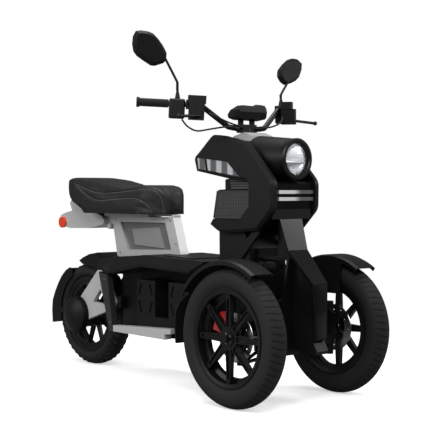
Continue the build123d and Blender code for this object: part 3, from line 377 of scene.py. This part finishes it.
def make_mesh_black():
    """The side grille: a diamond pattern of holes over the pane, painted near-black as painted shade behind
    them, plain on its rim.
    """
    material, tree, surface = new_material("mesh_black")
    link = tree.links.new
    place = tree.nodes.new("ShaderNodeTexCoord")
    parts = tree.nodes.new("ShaderNodeSeparateXYZ")
    link(place.outputs["Object"], parts.inputs[0])
    waves = []
    for sign in (1.0, -1.0):
        along = wired(tree, "ShaderNodeMath", "MULTIPLY", _1=320.0)
        link(parts.outputs["Y"], along.inputs[0])
        up = wired(tree, "ShaderNodeMath", "MULTIPLY_ADD", _1=sign * 560.0)
        link(parts.outputs["Z"], up.inputs[0])
        link(along.outputs[0], up.inputs[2])
        wave = wired(tree, "ShaderNodeMath", "COSINE")
        link(up.outputs[0], wave.inputs[0])
        waves.append(wave)
    both = wired(tree, "ShaderNodeMath", "MULTIPLY")
    link(waves[0].outputs[0], both.inputs[0])
    link(waves[1].outputs[0], both.inputs[1])
    hole = tree.nodes.new("ShaderNodeMapRange")
    hole.inputs["From Min"].default_value = 0.12
    hole.inputs["From Max"].default_value = 0.34
    link(both.outputs[0], hole.inputs["Value"])
    across = wired(tree, "ShaderNodeMath", "ABSOLUTE")
    link(parts.outputs["X"], across.inputs[0])
    pane = tree.nodes.new("ShaderNodeMapRange")
    pane.inputs["From Min"].default_value = 0.0974
    pane.inputs["From Max"].default_value = 0.0978
    pane.inputs["To Min"].default_value = 1.0
    pane.inputs["To Max"].default_value = 0.0
    link(across.outputs[0], pane.inputs["Value"])
    mask = wired(tree, "ShaderNodeMath", "MULTIPLY")
    link(hole.outputs["Result"], mask.inputs[0])
    link(pane.outputs["Result"], mask.inputs[1])
    # Painted shade: near-black colour in the holes, where shade behind the grille would show.
    mix = tree.nodes.new("ShaderNodeMix")
    mix.data_type = "RGBA"
    mix.inputs["A"].default_value = (0.06, 0.06, 0.061, 1.0)
    mix.inputs["B"].default_value = (0.0005, 0.0005, 0.0005, 1.0)
    link(mask.outputs[0], mix.inputs["Factor"])
    link(mix.outputs["Result"], surface.inputs["Base Color"])
    deep = wired(tree, "ShaderNodeMath", "SUBTRACT", _0=1.0)
    link(mask.outputs[0], deep.inputs[1])
    bump = tree.nodes.new("ShaderNodeBump")
    bump.inputs["Distance"].default_value = 0.002
    bump.inputs["Strength"].default_value = 0.7
    link(deep.outputs[0], bump.inputs["Height"])
    link(bump.outputs["Normal"], surface.inputs["Normal"])
    surface.inputs["Roughness"].default_value = 0.5
    surface.inputs["Specular IOR Level"].default_value = 0.25
    return material


def make_bar_light():
    """The lamps' milky lenses with painted light and shade: the bars painted brighter to the rider's right,
    the side lamps' flutes painted as light and dark stripes.
    """
    material, tree, surface = new_material("bar_light")
    link = tree.links.new
    place = tree.nodes.new("ShaderNodeTexCoord")
    parts = tree.nodes.new("ShaderNodeSeparateXYZ")
    link(place.outputs["Object"], parts.inputs[0])
    # Painted light: the bars' colour runs from bright on the rider's right to dark on the left, standing in
    # for how the light falls.
    near_side_painted_light = tree.nodes.new("ShaderNodeMapRange")
    near_side_painted_light.inputs["From Min"].default_value = -0.005
    near_side_painted_light.inputs["From Max"].default_value = 0.03
    link(parts.outputs["X"], near_side_painted_light.inputs["Value"])
    mix = tree.nodes.new("ShaderNodeMix")
    mix.data_type = "RGBA"
    mix.inputs["A"].default_value = (0.72, 0.73, 0.75, 1.0)
    mix.inputs["B"].default_value = (0.12, 0.12, 0.125, 1.0)
    link(near_side_painted_light.outputs["Result"], mix.inputs["Factor"])
    fluted = wired(tree, "ShaderNodeMath", "MULTIPLY_ADD", _1=92.0, _2=0.6)
    link(parts.outputs["Y"], fluted.inputs[0])
    flute = wired(tree, "ShaderNodeMath", "SINE")
    link(fluted.outputs[0], flute.inputs[0])
    step = tree.nodes.new("ShaderNodeMapRange")
    step.inputs["From Min"].default_value = -0.3
    step.inputs["From Max"].default_value = 0.5
    link(flute.outputs[0], step.inputs["Value"])
    # Painted shade: light and dark stripes along the side lamps stand in for their flutes' lit and shaded
    # faces.
    flute_painted_shade = tree.nodes.new("ShaderNodeMix")
    flute_painted_shade.data_type = "RGBA"
    flute_painted_shade.inputs["A"].default_value = (0.1, 0.103, 0.108, 1.0)
    flute_painted_shade.inputs["B"].default_value = (0.46, 0.47, 0.49, 1.0)
    link(step.outputs["Result"], flute_painted_shade.inputs["Factor"])
    outward = wired(tree, "ShaderNodeMath", "ABSOLUTE")
    link(parts.outputs["X"], outward.inputs[0])
    at_side = wired(tree, "ShaderNodeMath", "GREATER_THAN", _1=0.088)
    link(outward.outputs[0], at_side.inputs[0])
    lens = tree.nodes.new("ShaderNodeMix")
    lens.data_type = "RGBA"
    link(at_side.outputs[0], lens.inputs["Factor"])
    link(mix.outputs["Result"], lens.inputs["A"])
    link(flute_painted_shade.outputs["Result"], lens.inputs["B"])
    link(lens.outputs["Result"], surface.inputs["Base Color"])
    surface.inputs["Roughness"].default_value = 0.2
    surface.inputs["Coat Weight"].default_value = 0.6
    return material


tower_recess_inside = 0.0215


def make_tower_silver():
    """The tower's paint, with painted shade: greyer on the floors of its side recesses, where shade falls."""
    material = silver_paint.copy()
    material.name = "tower_silver"
    tree = material.node_tree
    link = tree.links.new
    surface = tree.nodes["Principled BSDF"]
    place = tree.nodes.new("ShaderNodeTexCoord")
    parts = tree.nodes.new("ShaderNodeSeparateXYZ")
    link(place.outputs["Object"], parts.inputs[0])
    outward = wired(tree, "ShaderNodeMath", "ABSOLUTE")
    link(parts.outputs["X"], outward.inputs[0])
    sunk = wired(tree, "ShaderNodeMath", "LESS_THAN", _1=tower_recess_inside)
    link(outward.outputs[0], sunk.inputs[0])
    shape = tree.nodes.new("ShaderNodeNewGeometry")
    facing_parts = tree.nodes.new("ShaderNodeSeparateXYZ")
    link(shape.outputs["True Normal"], facing_parts.inputs[0])
    sideways = wired(tree, "ShaderNodeMath", "ABSOLUTE")
    link(facing_parts.outputs["X"], sideways.inputs[0])
    flat = wired(tree, "ShaderNodeMath", "GREATER_THAN", _1=0.9)
    link(sideways.outputs[0], flat.inputs[0])
    # Painted shade: the recess floors' colour darkened to grey.
    floor = wired(tree, "ShaderNodeMath", "MULTIPLY")
    link(sunk.outputs[0], floor.inputs[0])
    link(flat.outputs[0], floor.inputs[1])
    mix = tree.nodes.new("ShaderNodeMix")
    mix.data_type = "RGBA"
    mix.inputs["B"].default_value = (0.15, 0.15, 0.155, 1.0)
    link(floor.outputs[0], mix.inputs["Factor"])
    link(surface.inputs["Base Color"].links[0].from_socket, mix.inputs["A"])
    link(mix.outputs["Result"], surface.inputs["Base Color"])
    return material


def make_clear_lens():
    material, tree, surface = new_material("clear_lens")
    surface.inputs["Base Color"].default_value = (0.97, 0.98, 1.0, 1.0)
    surface.inputs["Roughness"].default_value = 0.02
    surface.inputs["Transmission Weight"].default_value = 1.0
    surface.inputs["IOR"].default_value = 1.3
    flutes = tree.nodes.new("ShaderNodeTexNoise")
    flutes.inputs["Scale"].default_value = 30.0
    place = tree.nodes.new("ShaderNodeTexCoord")
    tree.links.new(place.outputs["Object"], flutes.inputs["Vector"])
    bump = tree.nodes.new("ShaderNodeBump")
    bump.inputs["Strength"].default_value = 0.05
    bump.inputs["Distance"].default_value = 0.001
    tree.links.new(flutes.outputs["Fac"], bump.inputs["Height"])
    tree.links.new(bump.outputs["Normal"], surface.inputs["Normal"])
    return material


seat_leather = make_seat_leather()
mesh_black = make_mesh_black()
bar_light = make_bar_light()
clear_lens = make_clear_lens()
rear_rubber = tyre_rubber("rear_rubber", (0.0, 0.652, 0.243), 46.0, 90.0, 0.222, 0.196, 0.9)

finishes = {
    "tyre": rear_rubber,
    "black_rim": black_paint,
    "brake_steel": disc_steel,
    "black_metal": black_paint,
    "red_caliper": caliper_red,
    "black_plastic": black_moulding,
    "silver": silver_paint,
    "grey_plastic": grey_moulding,
    "lens_clear": clear_lens,
    "lens_white": lamp_white,
    "lens_orange": lamp_orange,
    "seat_cover": seat_leather,
    "grip_rubber": grip_rubber,
    "cable_rubber": cable_rubber,
}


def dress(node, material):
    mesh = nodes[node].data
    mesh.materials.clear()
    mesh.materials.append(material)


for entry in frame["record"]["subparts"]:
    dress(entry["node"], finishes[entry["material_slot"]])
for side, x in (("left", 0.285), ("right", -0.285)):
    rubber = tyre_rubber(f"front_rubber_{side}", (x, -0.66, 0.27), 64.0, 70.0, 0.25, 0.212, 0.8)
    dress(f"front_tyre_{side}", rubber)
dress("side_grilles", mesh_black)
dress("front_lenses", bar_light)
dress("face_panel", gloss_black)
dress("tower_inserts", insert_grey)
dress("cross_spring", black_moulding)
dress("seat_tower", make_tower_silver())
dress("side_posts", post_grey)


# Modelling helpers

def deselect_all():
    if bpy.context.object and bpy.context.object.mode != "OBJECT":
        bpy.ops.object.mode_set(mode="OBJECT")
    bpy.ops.object.select_all(action="DESELECT")


def take_up(piece):
    deselect_all()
    bpy.context.view_layer.objects.active = piece
    piece.select_set(True)


def copy_node(node, name):
    """A merged copy of a CAD node's mesh as a new piece."""
    piece = bpy.data.objects.new(name, nodes[node].data.copy())
    bpy.context.collection.objects.link(piece)
    take_up(piece)
    bpy.ops.object.mode_set(mode="EDIT")
    bpy.ops.mesh.select_all(action="SELECT")
    bpy.ops.mesh.remove_doubles(threshold=0.00002)
    bpy.ops.object.mode_set(mode="OBJECT")
    return piece


def select_faces(piece, test):
    """Leaves the piece in edit mode with the faces selected whose centre and normal pass the test."""
    take_up(piece)
    bpy.ops.object.mode_set(mode="EDIT")
    bpy.ops.mesh.select_mode(type="FACE")
    bpy.ops.mesh.select_all(action="DESELECT")
    bpy.ops.object.mode_set(mode="OBJECT")
    for face in piece.data.polygons:
        face.select = test(face.center, face.normal)
    bpy.ops.object.mode_set(mode="EDIT")


def add_modifier(piece, kind, **values):
    """Adds a modifier with its values and applies it."""
    take_up(piece)
    modifier = piece.modifiers.new(kind.lower(), kind)
    for name, value in values.items():
        setattr(modifier, name, value)
    bpy.ops.object.modifier_apply(modifier=modifier.name)


def finish_piece(piece, material, body, smooth=35.0):
    """Applies the piece's place and turn, shades it and lets it ride on its body."""
    take_up(piece)
    bpy.ops.object.transform_apply(location=True, rotation=True, scale=True)
    piece.data.materials.clear()
    piece.data.materials.append(material)
    if smooth:
        bpy.ops.object.shade_smooth_by_angle(angle=math.radians(smooth))
    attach(piece, body)
    return piece


def plate_on(node, name, test, margin, rise, thickness, bevel=0.0004):
    """A thin plate that follows chosen faces of a node, inset from their border."""
    piece = copy_node(node, name)
    select_faces(piece, test)
    bpy.ops.mesh.select_all(action="INVERT")
    bpy.ops.mesh.delete(type="FACE")
    bpy.ops.mesh.select_all(action="SELECT")
    bpy.ops.mesh.dissolve_limited(angle_limit=math.radians(1.5))
    bpy.ops.mesh.select_all(action="SELECT")
    bpy.ops.mesh.inset(thickness=margin, depth=0.0, use_boundary=True, use_even_offset=True)
    bpy.ops.mesh.select_all(action="INVERT")
    bpy.ops.mesh.delete(type="FACE")
    bpy.ops.mesh.select_all(action="SELECT")
    bpy.ops.transform.shrink_fatten(value=rise)
    bpy.ops.object.mode_set(mode="OBJECT")
    add_modifier(piece, "SOLIDIFY", thickness=thickness, offset=1.0)
    add_modifier(piece, "BEVEL", width=bevel, segments=2, limit_method="ANGLE")
    return piece


def copies_joined(model, name, places):
    """Copies of a model, each with its own mesh, at a list of matrices, joined in one piece."""
    made = []
    for place in places:
        one = bpy.data.objects.new(name, model.data.copy())
        one.data.transform(place)
        bpy.context.collection.objects.link(one)
        made.append(one)
    bpy.data.objects.remove(model)
    take_up(made[0])
    for one in made:
        one.select_set(True)
    if len(made) > 1:
        bpy.ops.object.join()
    made[0].name = name
    return made[0]


def facing(place, direction, turn=0.0):
    """The matrix that puts a model's +Z along a direction at a place."""
    quarter = Vector(direction).to_track_quat("Z", "Y").to_matrix().to_4x4()
    return Matrix.Translation(Vector(place)) @ quarter @ Matrix.Rotation(turn, 4, "Z")


# Bolts

def bolt_model(radius, height):
    """A round bolt head with a rounded edge and a round socket."""
    bpy.ops.mesh.primitive_cylinder_add(vertices=24, radius=radius, depth=height, location=(0, 0, height / 2))
    bolt = bpy.context.active_object
    select_faces(bolt, lambda centre, normal: normal.z > 0.9)
    bpy.ops.mesh.inset(thickness=radius * 0.45)
    bpy.ops.mesh.extrude_region_move(TRANSFORM_OT_translate={"value": (0, 0, -height * 0.55)})
    bpy.ops.object.mode_set(mode="OBJECT")
    add_modifier(bolt, "BEVEL", width=radius * 0.12, segments=2, limit_method="ANGLE")
    return bolt


def add_bolts(name, body, radius, height, spots):
    places = [facing(place, direction, 0.3 * k) for k, (place, direction) in enumerate(spots)]
    bolts = copies_joined(bolt_model(radius, height), name, places)
    return finish_piece(bolts, bolt_steel, body)


def both_sides(spots):
    """The spots and their mirror images about the middle plane."""
    other = [((-p[0], p[1], p[2]), (-d[0], d[1], d[2])) for p, d in spots]
    return list(spots) + other


# Seat: a foam cushion under a stretched, stitched cover

seat_upper_line = [
    (1.285, 0.861), (1.214, 0.840), (1.153, 0.825), (1.096, 0.817), (0.991, 0.821), (0.877, 0.830),
    (0.800, 0.837), (0.759, 0.835), (0.734, 0.825), (0.721, 0.806), (0.715, 0.780), (0.713, 0.745),
]
seat_lower_line = [
    (1.276, 0.852), (1.222, 0.823), (1.184, 0.803), (1.146, 0.790), (1.101, 0.784), (1.049, 0.787),
    (0.955, 0.793), (0.878, 0.797), (0.823, 0.793), (0.783, 0.774), (0.766, 0.755), (0.760, 0.740),
]
axle_to_middle = 0.66


def smooth_line(points, step):
    """Evenly spaced (y, z) places along a smooth curve through the points."""
    curve = bpy.data.curves.new("line", "CURVE")
    curve.dimensions = "3D"
    spline = curve.splines.new("NURBS")
    spline.points.add(len(points) - 1)
    for point, (y, z) in zip(spline.points, points):
        point.co = (0.0, y - axle_to_middle, z, 1.0)
    spline.order_u = 3
    spline.use_endpoint_u = True
    spline.resolution_u = 24
    holder = bpy.data.objects.new("line", curve)
    mesh = bpy.data.meshes.new_from_object(holder)
    route = [vertex.co.copy() for vertex in mesh.vertices]
    bpy.data.objects.remove(holder)
    bpy.data.meshes.remove(mesh)
    places = [route[0]]
    left = step
    for a, b in zip(route, route[1:]):
        span = (b - a).length
        done = 0.0
        while span - done >= left:
            done += left
            places.append(a.lerp(b, done / span))
            left = step
        left -= span - done
    return places


def line_on_seat(tree, line, side, step):
    """The line's places brought on to the seat's side, with the surface's direction there."""
    found = []
    for place in smooth_line(line, step):
        start = Vector((side * 0.3, place.y, place.z))
        hit, normal, _, _ = tree.ray_cast(start, Vector((-side, 0, 0)))
        if hit and hit.x * side > 0.02:
            found.append((hit, normal))
    return found


def make_seat():
    seat = copy_node("seat_cushion", "seat_cover")
    low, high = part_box("seat_cushion")
    add_modifier(seat, "REMESH", mode="VOXEL", voxel_size=0.006)
    bottom = low[2] + 0.004
    group = seat.vertex_groups.new(name="free")
    group.add([v.index for v in seat.data.vertices if v.co.z > bottom], 1.0, "REPLACE")
    add_modifier(seat, "SMOOTH", factor=0.5, iterations=9, vertex_group="free")
    held = seat.vertex_groups.new(name="held")
    held.add([v.index for v in seat.data.vertices if v.co.z <= bottom + 0.004], 1.0, "REPLACE")
    before = [v.co.copy() for v in seat.data.vertices]
    take_up(seat)
    cloth = seat.modifiers.new("cover", "CLOTH")
    cloth.settings.use_pressure = True
    cloth.settings.uniform_pressure_force = 4.0
    cloth.settings.effector_weights.gravity = 0.0
    cloth.settings.vertex_group_mass = "held"
    cloth.settings.quality = 5
    scene = bpy.context.scene
    cloth.point_cache.frame_start = 1
    cloth.point_cache.frame_end = 20
    for step in range(1, 21):
        scene.frame_set(step)
    bpy.ops.object.modifier_apply(modifier=cloth.name)
    scene.frame_set(1)
    most = 0.005
    for vertex, place in zip(seat.data.vertices, before):
        shift = vertex.co - place
        if shift.length > most:
            vertex.co = place + shift * (most / shift.length)
    add_modifier(seat, "SMOOTH", factor=0.5, iterations=5, vertex_group="free")
    add_modifier(seat, "SUBSURF", levels=1, render_levels=1)

    tree = BVHTree.FromObject(seat, bpy.context.evaluated_depsgraph_get())
    stitches = []
    seam = []
    for side in (-1, 1):
        for line in (seat_upper_line, seat_lower_line):
            seam += line_on_seat(tree, line, side, 0.002)
            stitches += line_on_seat(tree, line, side, 0.0075)
    kd = KDTree(len(seam))
    for k, (place, normal) in enumerate(seam):
        kd.insert(place, k)
    kd.balance()
    width = 0.009
    for vertex in seat.data.vertices:
        place, k, distance = kd.find(vertex.co)
        if distance < width:
            share = 0.5 + 0.5 * math.cos(math.pi * distance / width)
            vertex.co -= seam[k][1] * 0.0026 * share
    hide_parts("seat_cushion")
    finish_piece(seat, seat_leather, "seat", smooth=60.0)

    bpy.ops.mesh.primitive_cylinder_add(vertices=8, radius=0.0008, depth=0.0055)
    stitch = bpy.context.active_object
    add_modifier(stitch, "BEVEL", width=0.0004, segments=2, limit_method="ANGLE")
    places = []
    for (a, na), (b, nb) in zip(stitches, stitches[1:]):
        if 0.004 < (b - a).length < 0.012:
            middle = (a + b) / 2 - (na + nb) * 0.5 * 0.0018
            places.append(facing(middle, b - a))
    thread = copies_joined(stitch, "seat_stitching", places)
    finish_piece(thread, thread_grey, "seat")


# Head: reflector and lamp bar, mirror glass, strut plate and display glass

def make_reflector():
    """The headlight's bright bowl with a level lamp bar across it."""
    low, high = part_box("headlight_lens")
    middle = (low + high) / 2
    rim = 0.0605
    depth = 0.031
    bulge = (rim**2 + depth**2) / (2 * depth)
    front = -0.038 - axle_to_middle
    centre_y = front - 0.0005 + depth - bulge
    bpy.ops.mesh.primitive_uv_sphere_add(
        segments=64, ring_count=48, radius=bulge, rotation=(math.pi / 2, 0, 0)
    )
    bowl = bpy.context.active_object
    bpy.ops.object.transform_apply(rotation=True)
    bowl.data.transform(Matrix.Translation((middle.x, centre_y, middle.z)))
    bowl.name = "headlight_bowl"
    take_up(bowl)
    bpy.ops.object.mode_set(mode="EDIT")
    bpy.ops.mesh.select_all(action="SELECT")
    bpy.ops.mesh.bisect(
        plane_co=(middle.x, front - 0.0005, middle.z), plane_no=(0, 1, 0), clear_inner=True, clear_outer=False
    )
    bpy.ops.mesh.select_all(action="SELECT")
    bpy.ops.mesh.flip_normals()
    bpy.ops.object.mode_set(mode="OBJECT")
    add_modifier(bowl, "SOLIDIFY", thickness=0.0012, offset=1.0)
    finish_piece(bowl, reflector_silver, "chassis", smooth=60.0)

    bpy.ops.mesh.primitive_cube_add(
        size=1.0, location=(middle.x, front + 0.006, middle.z - 0.004), scale=(0.108, 0.012, 0.017)
    )
    bar = bpy.context.active_object
    bar.name = "headlight_lamp_bar"
    bpy.ops.object.transform_apply(location=True, rotation=True, scale=True)
    select_faces(bar, lambda centre, normal: normal.y < -0.9)
    bpy.ops.mesh.inset(thickness=0.003)
    bpy.ops.transform.translate(value=(0, 0.003, 0))
    bpy.ops.object.mode_set(mode="OBJECT")
    add_modifier(bar, "BEVEL", width=0.0025, segments=3, limit_method="ANGLE")
    finish_piece(bar, lamp_white, "chassis")


def make_mirror_glass():
    for side, name, rearward in (
        (-1, "mirror_glass_right", (0.3, 0.954)),
        (1, "mirror_glass_left", (-0.1, 0.995)),
    ):
        direction = Vector((*rearward, 0)).normalized()
        glass = plate_on(
            "mirrors",
            name,
            lambda centre, normal: centre.x * side > 0 and normal.dot(direction) > 0.99,
            0.005,
            0.0002,
            0.0008,
        )
        finish_piece(glass, mirror_silver, "steering")


def make_front_trims():
    trim = plate_on(
        "nose_strut",
        "strut_plate",
        lambda centre, normal: normal.y < -0.9 and centre.z < 0.5,
        0.007,
        0.0002,
        0.0016,
    )
    finish_piece(trim, gloss_black, "chassis")
    display = plate_on(
        "instrument",
        "display_glass",
        lambda centre, normal: normal.y > 0.5 and normal.z > 0.5,
        0.006,
        0.0002,
        0.001,
    )
    finish_piece(display, gloss_black, "steering")


def make_rear_lugs():
    """Tread blocks over the rear tyre's crown and shoulders."""
    bpy.ops.mesh.primitive_cube_add(size=1.0, scale=(0.019, 0.016, 0.006))
    lug = bpy.context.active_object
    bpy.ops.object.transform_apply(location=True, rotation=True, scale=True)
    select_faces(lug, lambda centre, normal: normal.z > 0.9)
    bpy.ops.transform.resize(value=(0.84, 0.8, 1.0))
    bpy.ops.object.mode_set(mode="OBJECT")
    add_modifier(lug, "BEVEL", width=0.001, segments=2, limit_method="ANGLE")
    middle = Vector((0.0, 0.652, 0.243))
    rings = ((0.0, 0.0, 0.2405, 40), (0.024, 12.0, 0.2375, 40), (0.043, 38.0, 0.2235, 40))
    places = []
    for across, lean, radius, count in rings:
        for side in (-1, 1):
            if across == 0.0 and side > 0:
                continue
            for k in range(count):
                angle = 2 * math.pi * (k + (0.5 if across == 0.024 else 0.0)) / count
                place = (
                    Matrix.Translation(middle)
                    @ Matrix.Rotation(angle, 4, "X")
                    @ Matrix.Translation((side * across, 0, radius - 0.001))
                    @ Matrix.Rotation(side * math.radians(lean), 4, "Y")
                    @ Matrix.Rotation(side * 0.3, 4, "Z")
                )
                places.append(place)
    lugs = copies_joined(lug, "rear_tread_blocks", places)
    finish_piece(lugs, rear_block_rubber, "rear_wheel")


# Where bolts stand: the outer faces' distance from the middle, and places from the front axle
tower_face = 0.0232
swingarm_face = 0.1002
post_face = 0.1902
tower_bolt_spots = ((0.668, 0.596), (0.708, 0.699), (1.112, 0.697), (1.078, 0.545))


def make_all_bolts():
    wheel_spots = []
    for k in range(5):
        angle = 2 * math.pi * k / 5
        wheel_spots.append((0.018 * math.cos(angle), 0.018 * math.sin(angle)))
    for side, x in (("left", 1), ("right", -1)):
        spots = [((0.315 * x, -0.66 + u, 0.27 + v), (x, 0, 0)) for u, v in wheel_spots]
        add_bolts(f"hub_bolts_{side}", f"front_wheel_{side}", 0.0042, 0.003, spots)
    for name, face, radius, height, spots in (
        ("tower_bolts", tower_face, 0.0045, 0.003, tower_bolt_spots),
        ("swingarm_bolts", swingarm_face, 0.009, 0.004, ((1.046, 0.320), (1.120, 0.440))),
        ("post_bolts", post_face, 0.0045, 0.003, ((0.972, 0.435), (0.930, 0.245))),
    ):
        row = [((face, y - axle_to_middle, z), (1, 0, 0)) for y, z in spots]
        add_bolts(name, "chassis", radius, height, both_sides(row))


# Floor, light and background

def show_white_to_camera(tree, plain, bright):
    """Mixes a plain shader with a bright one that only the camera sees, also through the lens."""
    path = tree.nodes.new("ShaderNodeLightPath")
    seen = tree.nodes.new("ShaderNodeMath")
    seen.operation = "MAXIMUM"
    tree.links.new(path.outputs["Is Camera Ray"], seen.inputs[0])
    tree.links.new(path.outputs["Is Transmission Ray"], seen.inputs[1])
    mix = tree.nodes.new("ShaderNodeMixShader")
    tree.links.new(seen.outputs[0], mix.inputs[0])
    tree.links.new(plain, mix.inputs[1])
    tree.links.new(bright, mix.inputs[2])
    return mix.outputs[0]


def make_studio():
    world = bpy.data.worlds.new("studio")
    bpy.context.scene.world = world
    world.use_nodes = True
    tree = world.node_tree
    tree.nodes.clear()
    soft = tree.nodes.new("ShaderNodeBackground")
    soft.inputs["Color"].default_value = (1, 1, 1, 1)
    soft.inputs["Strength"].default_value = 0.16
    white = tree.nodes.new("ShaderNodeBackground")
    white.inputs["Color"].default_value = (1, 1, 1, 1)
    white.inputs["Strength"].default_value = 1.0
    out = tree.nodes.new("ShaderNodeOutputWorld")
    tree.links.new(show_white_to_camera(tree, soft.outputs[0], white.outputs[0]), out.inputs["Surface"])

    bpy.ops.mesh.primitive_plane_add(size=30.0, location=(0, 0, 0))
    floor = bpy.context.active_object
    floor.name = "studio_floor"
    material, tree, surface = new_material("floor_white")
    surface.inputs["Base Color"].default_value = (0.92, 0.92, 0.92, 1)
    surface.inputs["Roughness"].default_value = 0.9
    surface.inputs["Specular IOR Level"].default_value = 0.0
    glow = tree.nodes.new("ShaderNodeEmission")
    glow.inputs["Color"].default_value = (1, 1, 1, 1)
    glow.inputs["Strength"].default_value = 0.5
    added = tree.nodes.new("ShaderNodeAddShader")
    tree.links.new(surface.outputs[0], added.inputs[0])
    tree.links.new(glow.outputs[0], added.inputs[1])
    place = tree.nodes.new("ShaderNodeTexCoord")
    away = wired(tree, "ShaderNodeVectorMath", "LENGTH")
    tree.links.new(place.outputs["Object"], away.inputs[0])
    far = tree.nodes.new("ShaderNodeMapRange")
    far.interpolation_type = "SMOOTHSTEP"
    far.inputs["From Min"].default_value = 1.2
    far.inputs["From Max"].default_value = 2.6
    tree.links.new(away.outputs["Value"], far.inputs["Value"])
    white = tree.nodes.new("ShaderNodeEmission")
    white.inputs["Color"].default_value = (1, 1, 1, 1)
    white.inputs["Strength"].default_value = 1.0
    spread = tree.nodes.new("ShaderNodeMixShader")
    tree.links.new(far.outputs["Result"], spread.inputs[0])
    tree.links.new(added.outputs[0], spread.inputs[1])
    tree.links.new(white.outputs[0], spread.inputs[2])
    out = tree.nodes["Material Output"]
    bounce = tree.nodes.new("ShaderNodeBsdfDiffuse")
    bounce.inputs["Color"].default_value = (0.3, 0.3, 0.3, 1)
    mixed = show_white_to_camera(tree, bounce.outputs[0], spread.outputs[0])
    tree.links.new(mixed, out.inputs["Surface"])
    floor.data.materials.append(material)

    for name, place, power, size in (
        ("key_light", (-3.2, -3.4, 3.6), 170.0, 2.4),
        ("side_light", (-4.2, 1.6, 2.4), 95.0, 2.0),
        ("fill_light", (3.4, -3.0, 2.6), 60.0, 1.6),
        ("top_light", (0.2, 0.0, 4.2), 120.0, 2.4),
    ):
        data = bpy.data.lights.new(name, "AREA")
        data.energy = power
        data.size = size
        lamp = bpy.data.objects.new(name, data)
        lamp.location = place
        lamp.rotation_euler = (Vector(place) - Vector((0, 0, 0.6))).to_track_quat("Z", "Y").to_euler()
        bpy.context.collection.objects.link(lamp)

    bpy.context.scene.view_settings.view_transform = "Standard"


rear_block_rubber = grained(
    "rear_block_rubber", (0.018, 0.018, 0.018), 0.75, scale=600.0, depth=0.3, cloud=0.25, specular=0.3
)
place_camera()
make_seat()
make_reflector()
make_mirror_glass()
make_front_trims()
make_rear_lugs()
make_all_bolts()
make_studio()
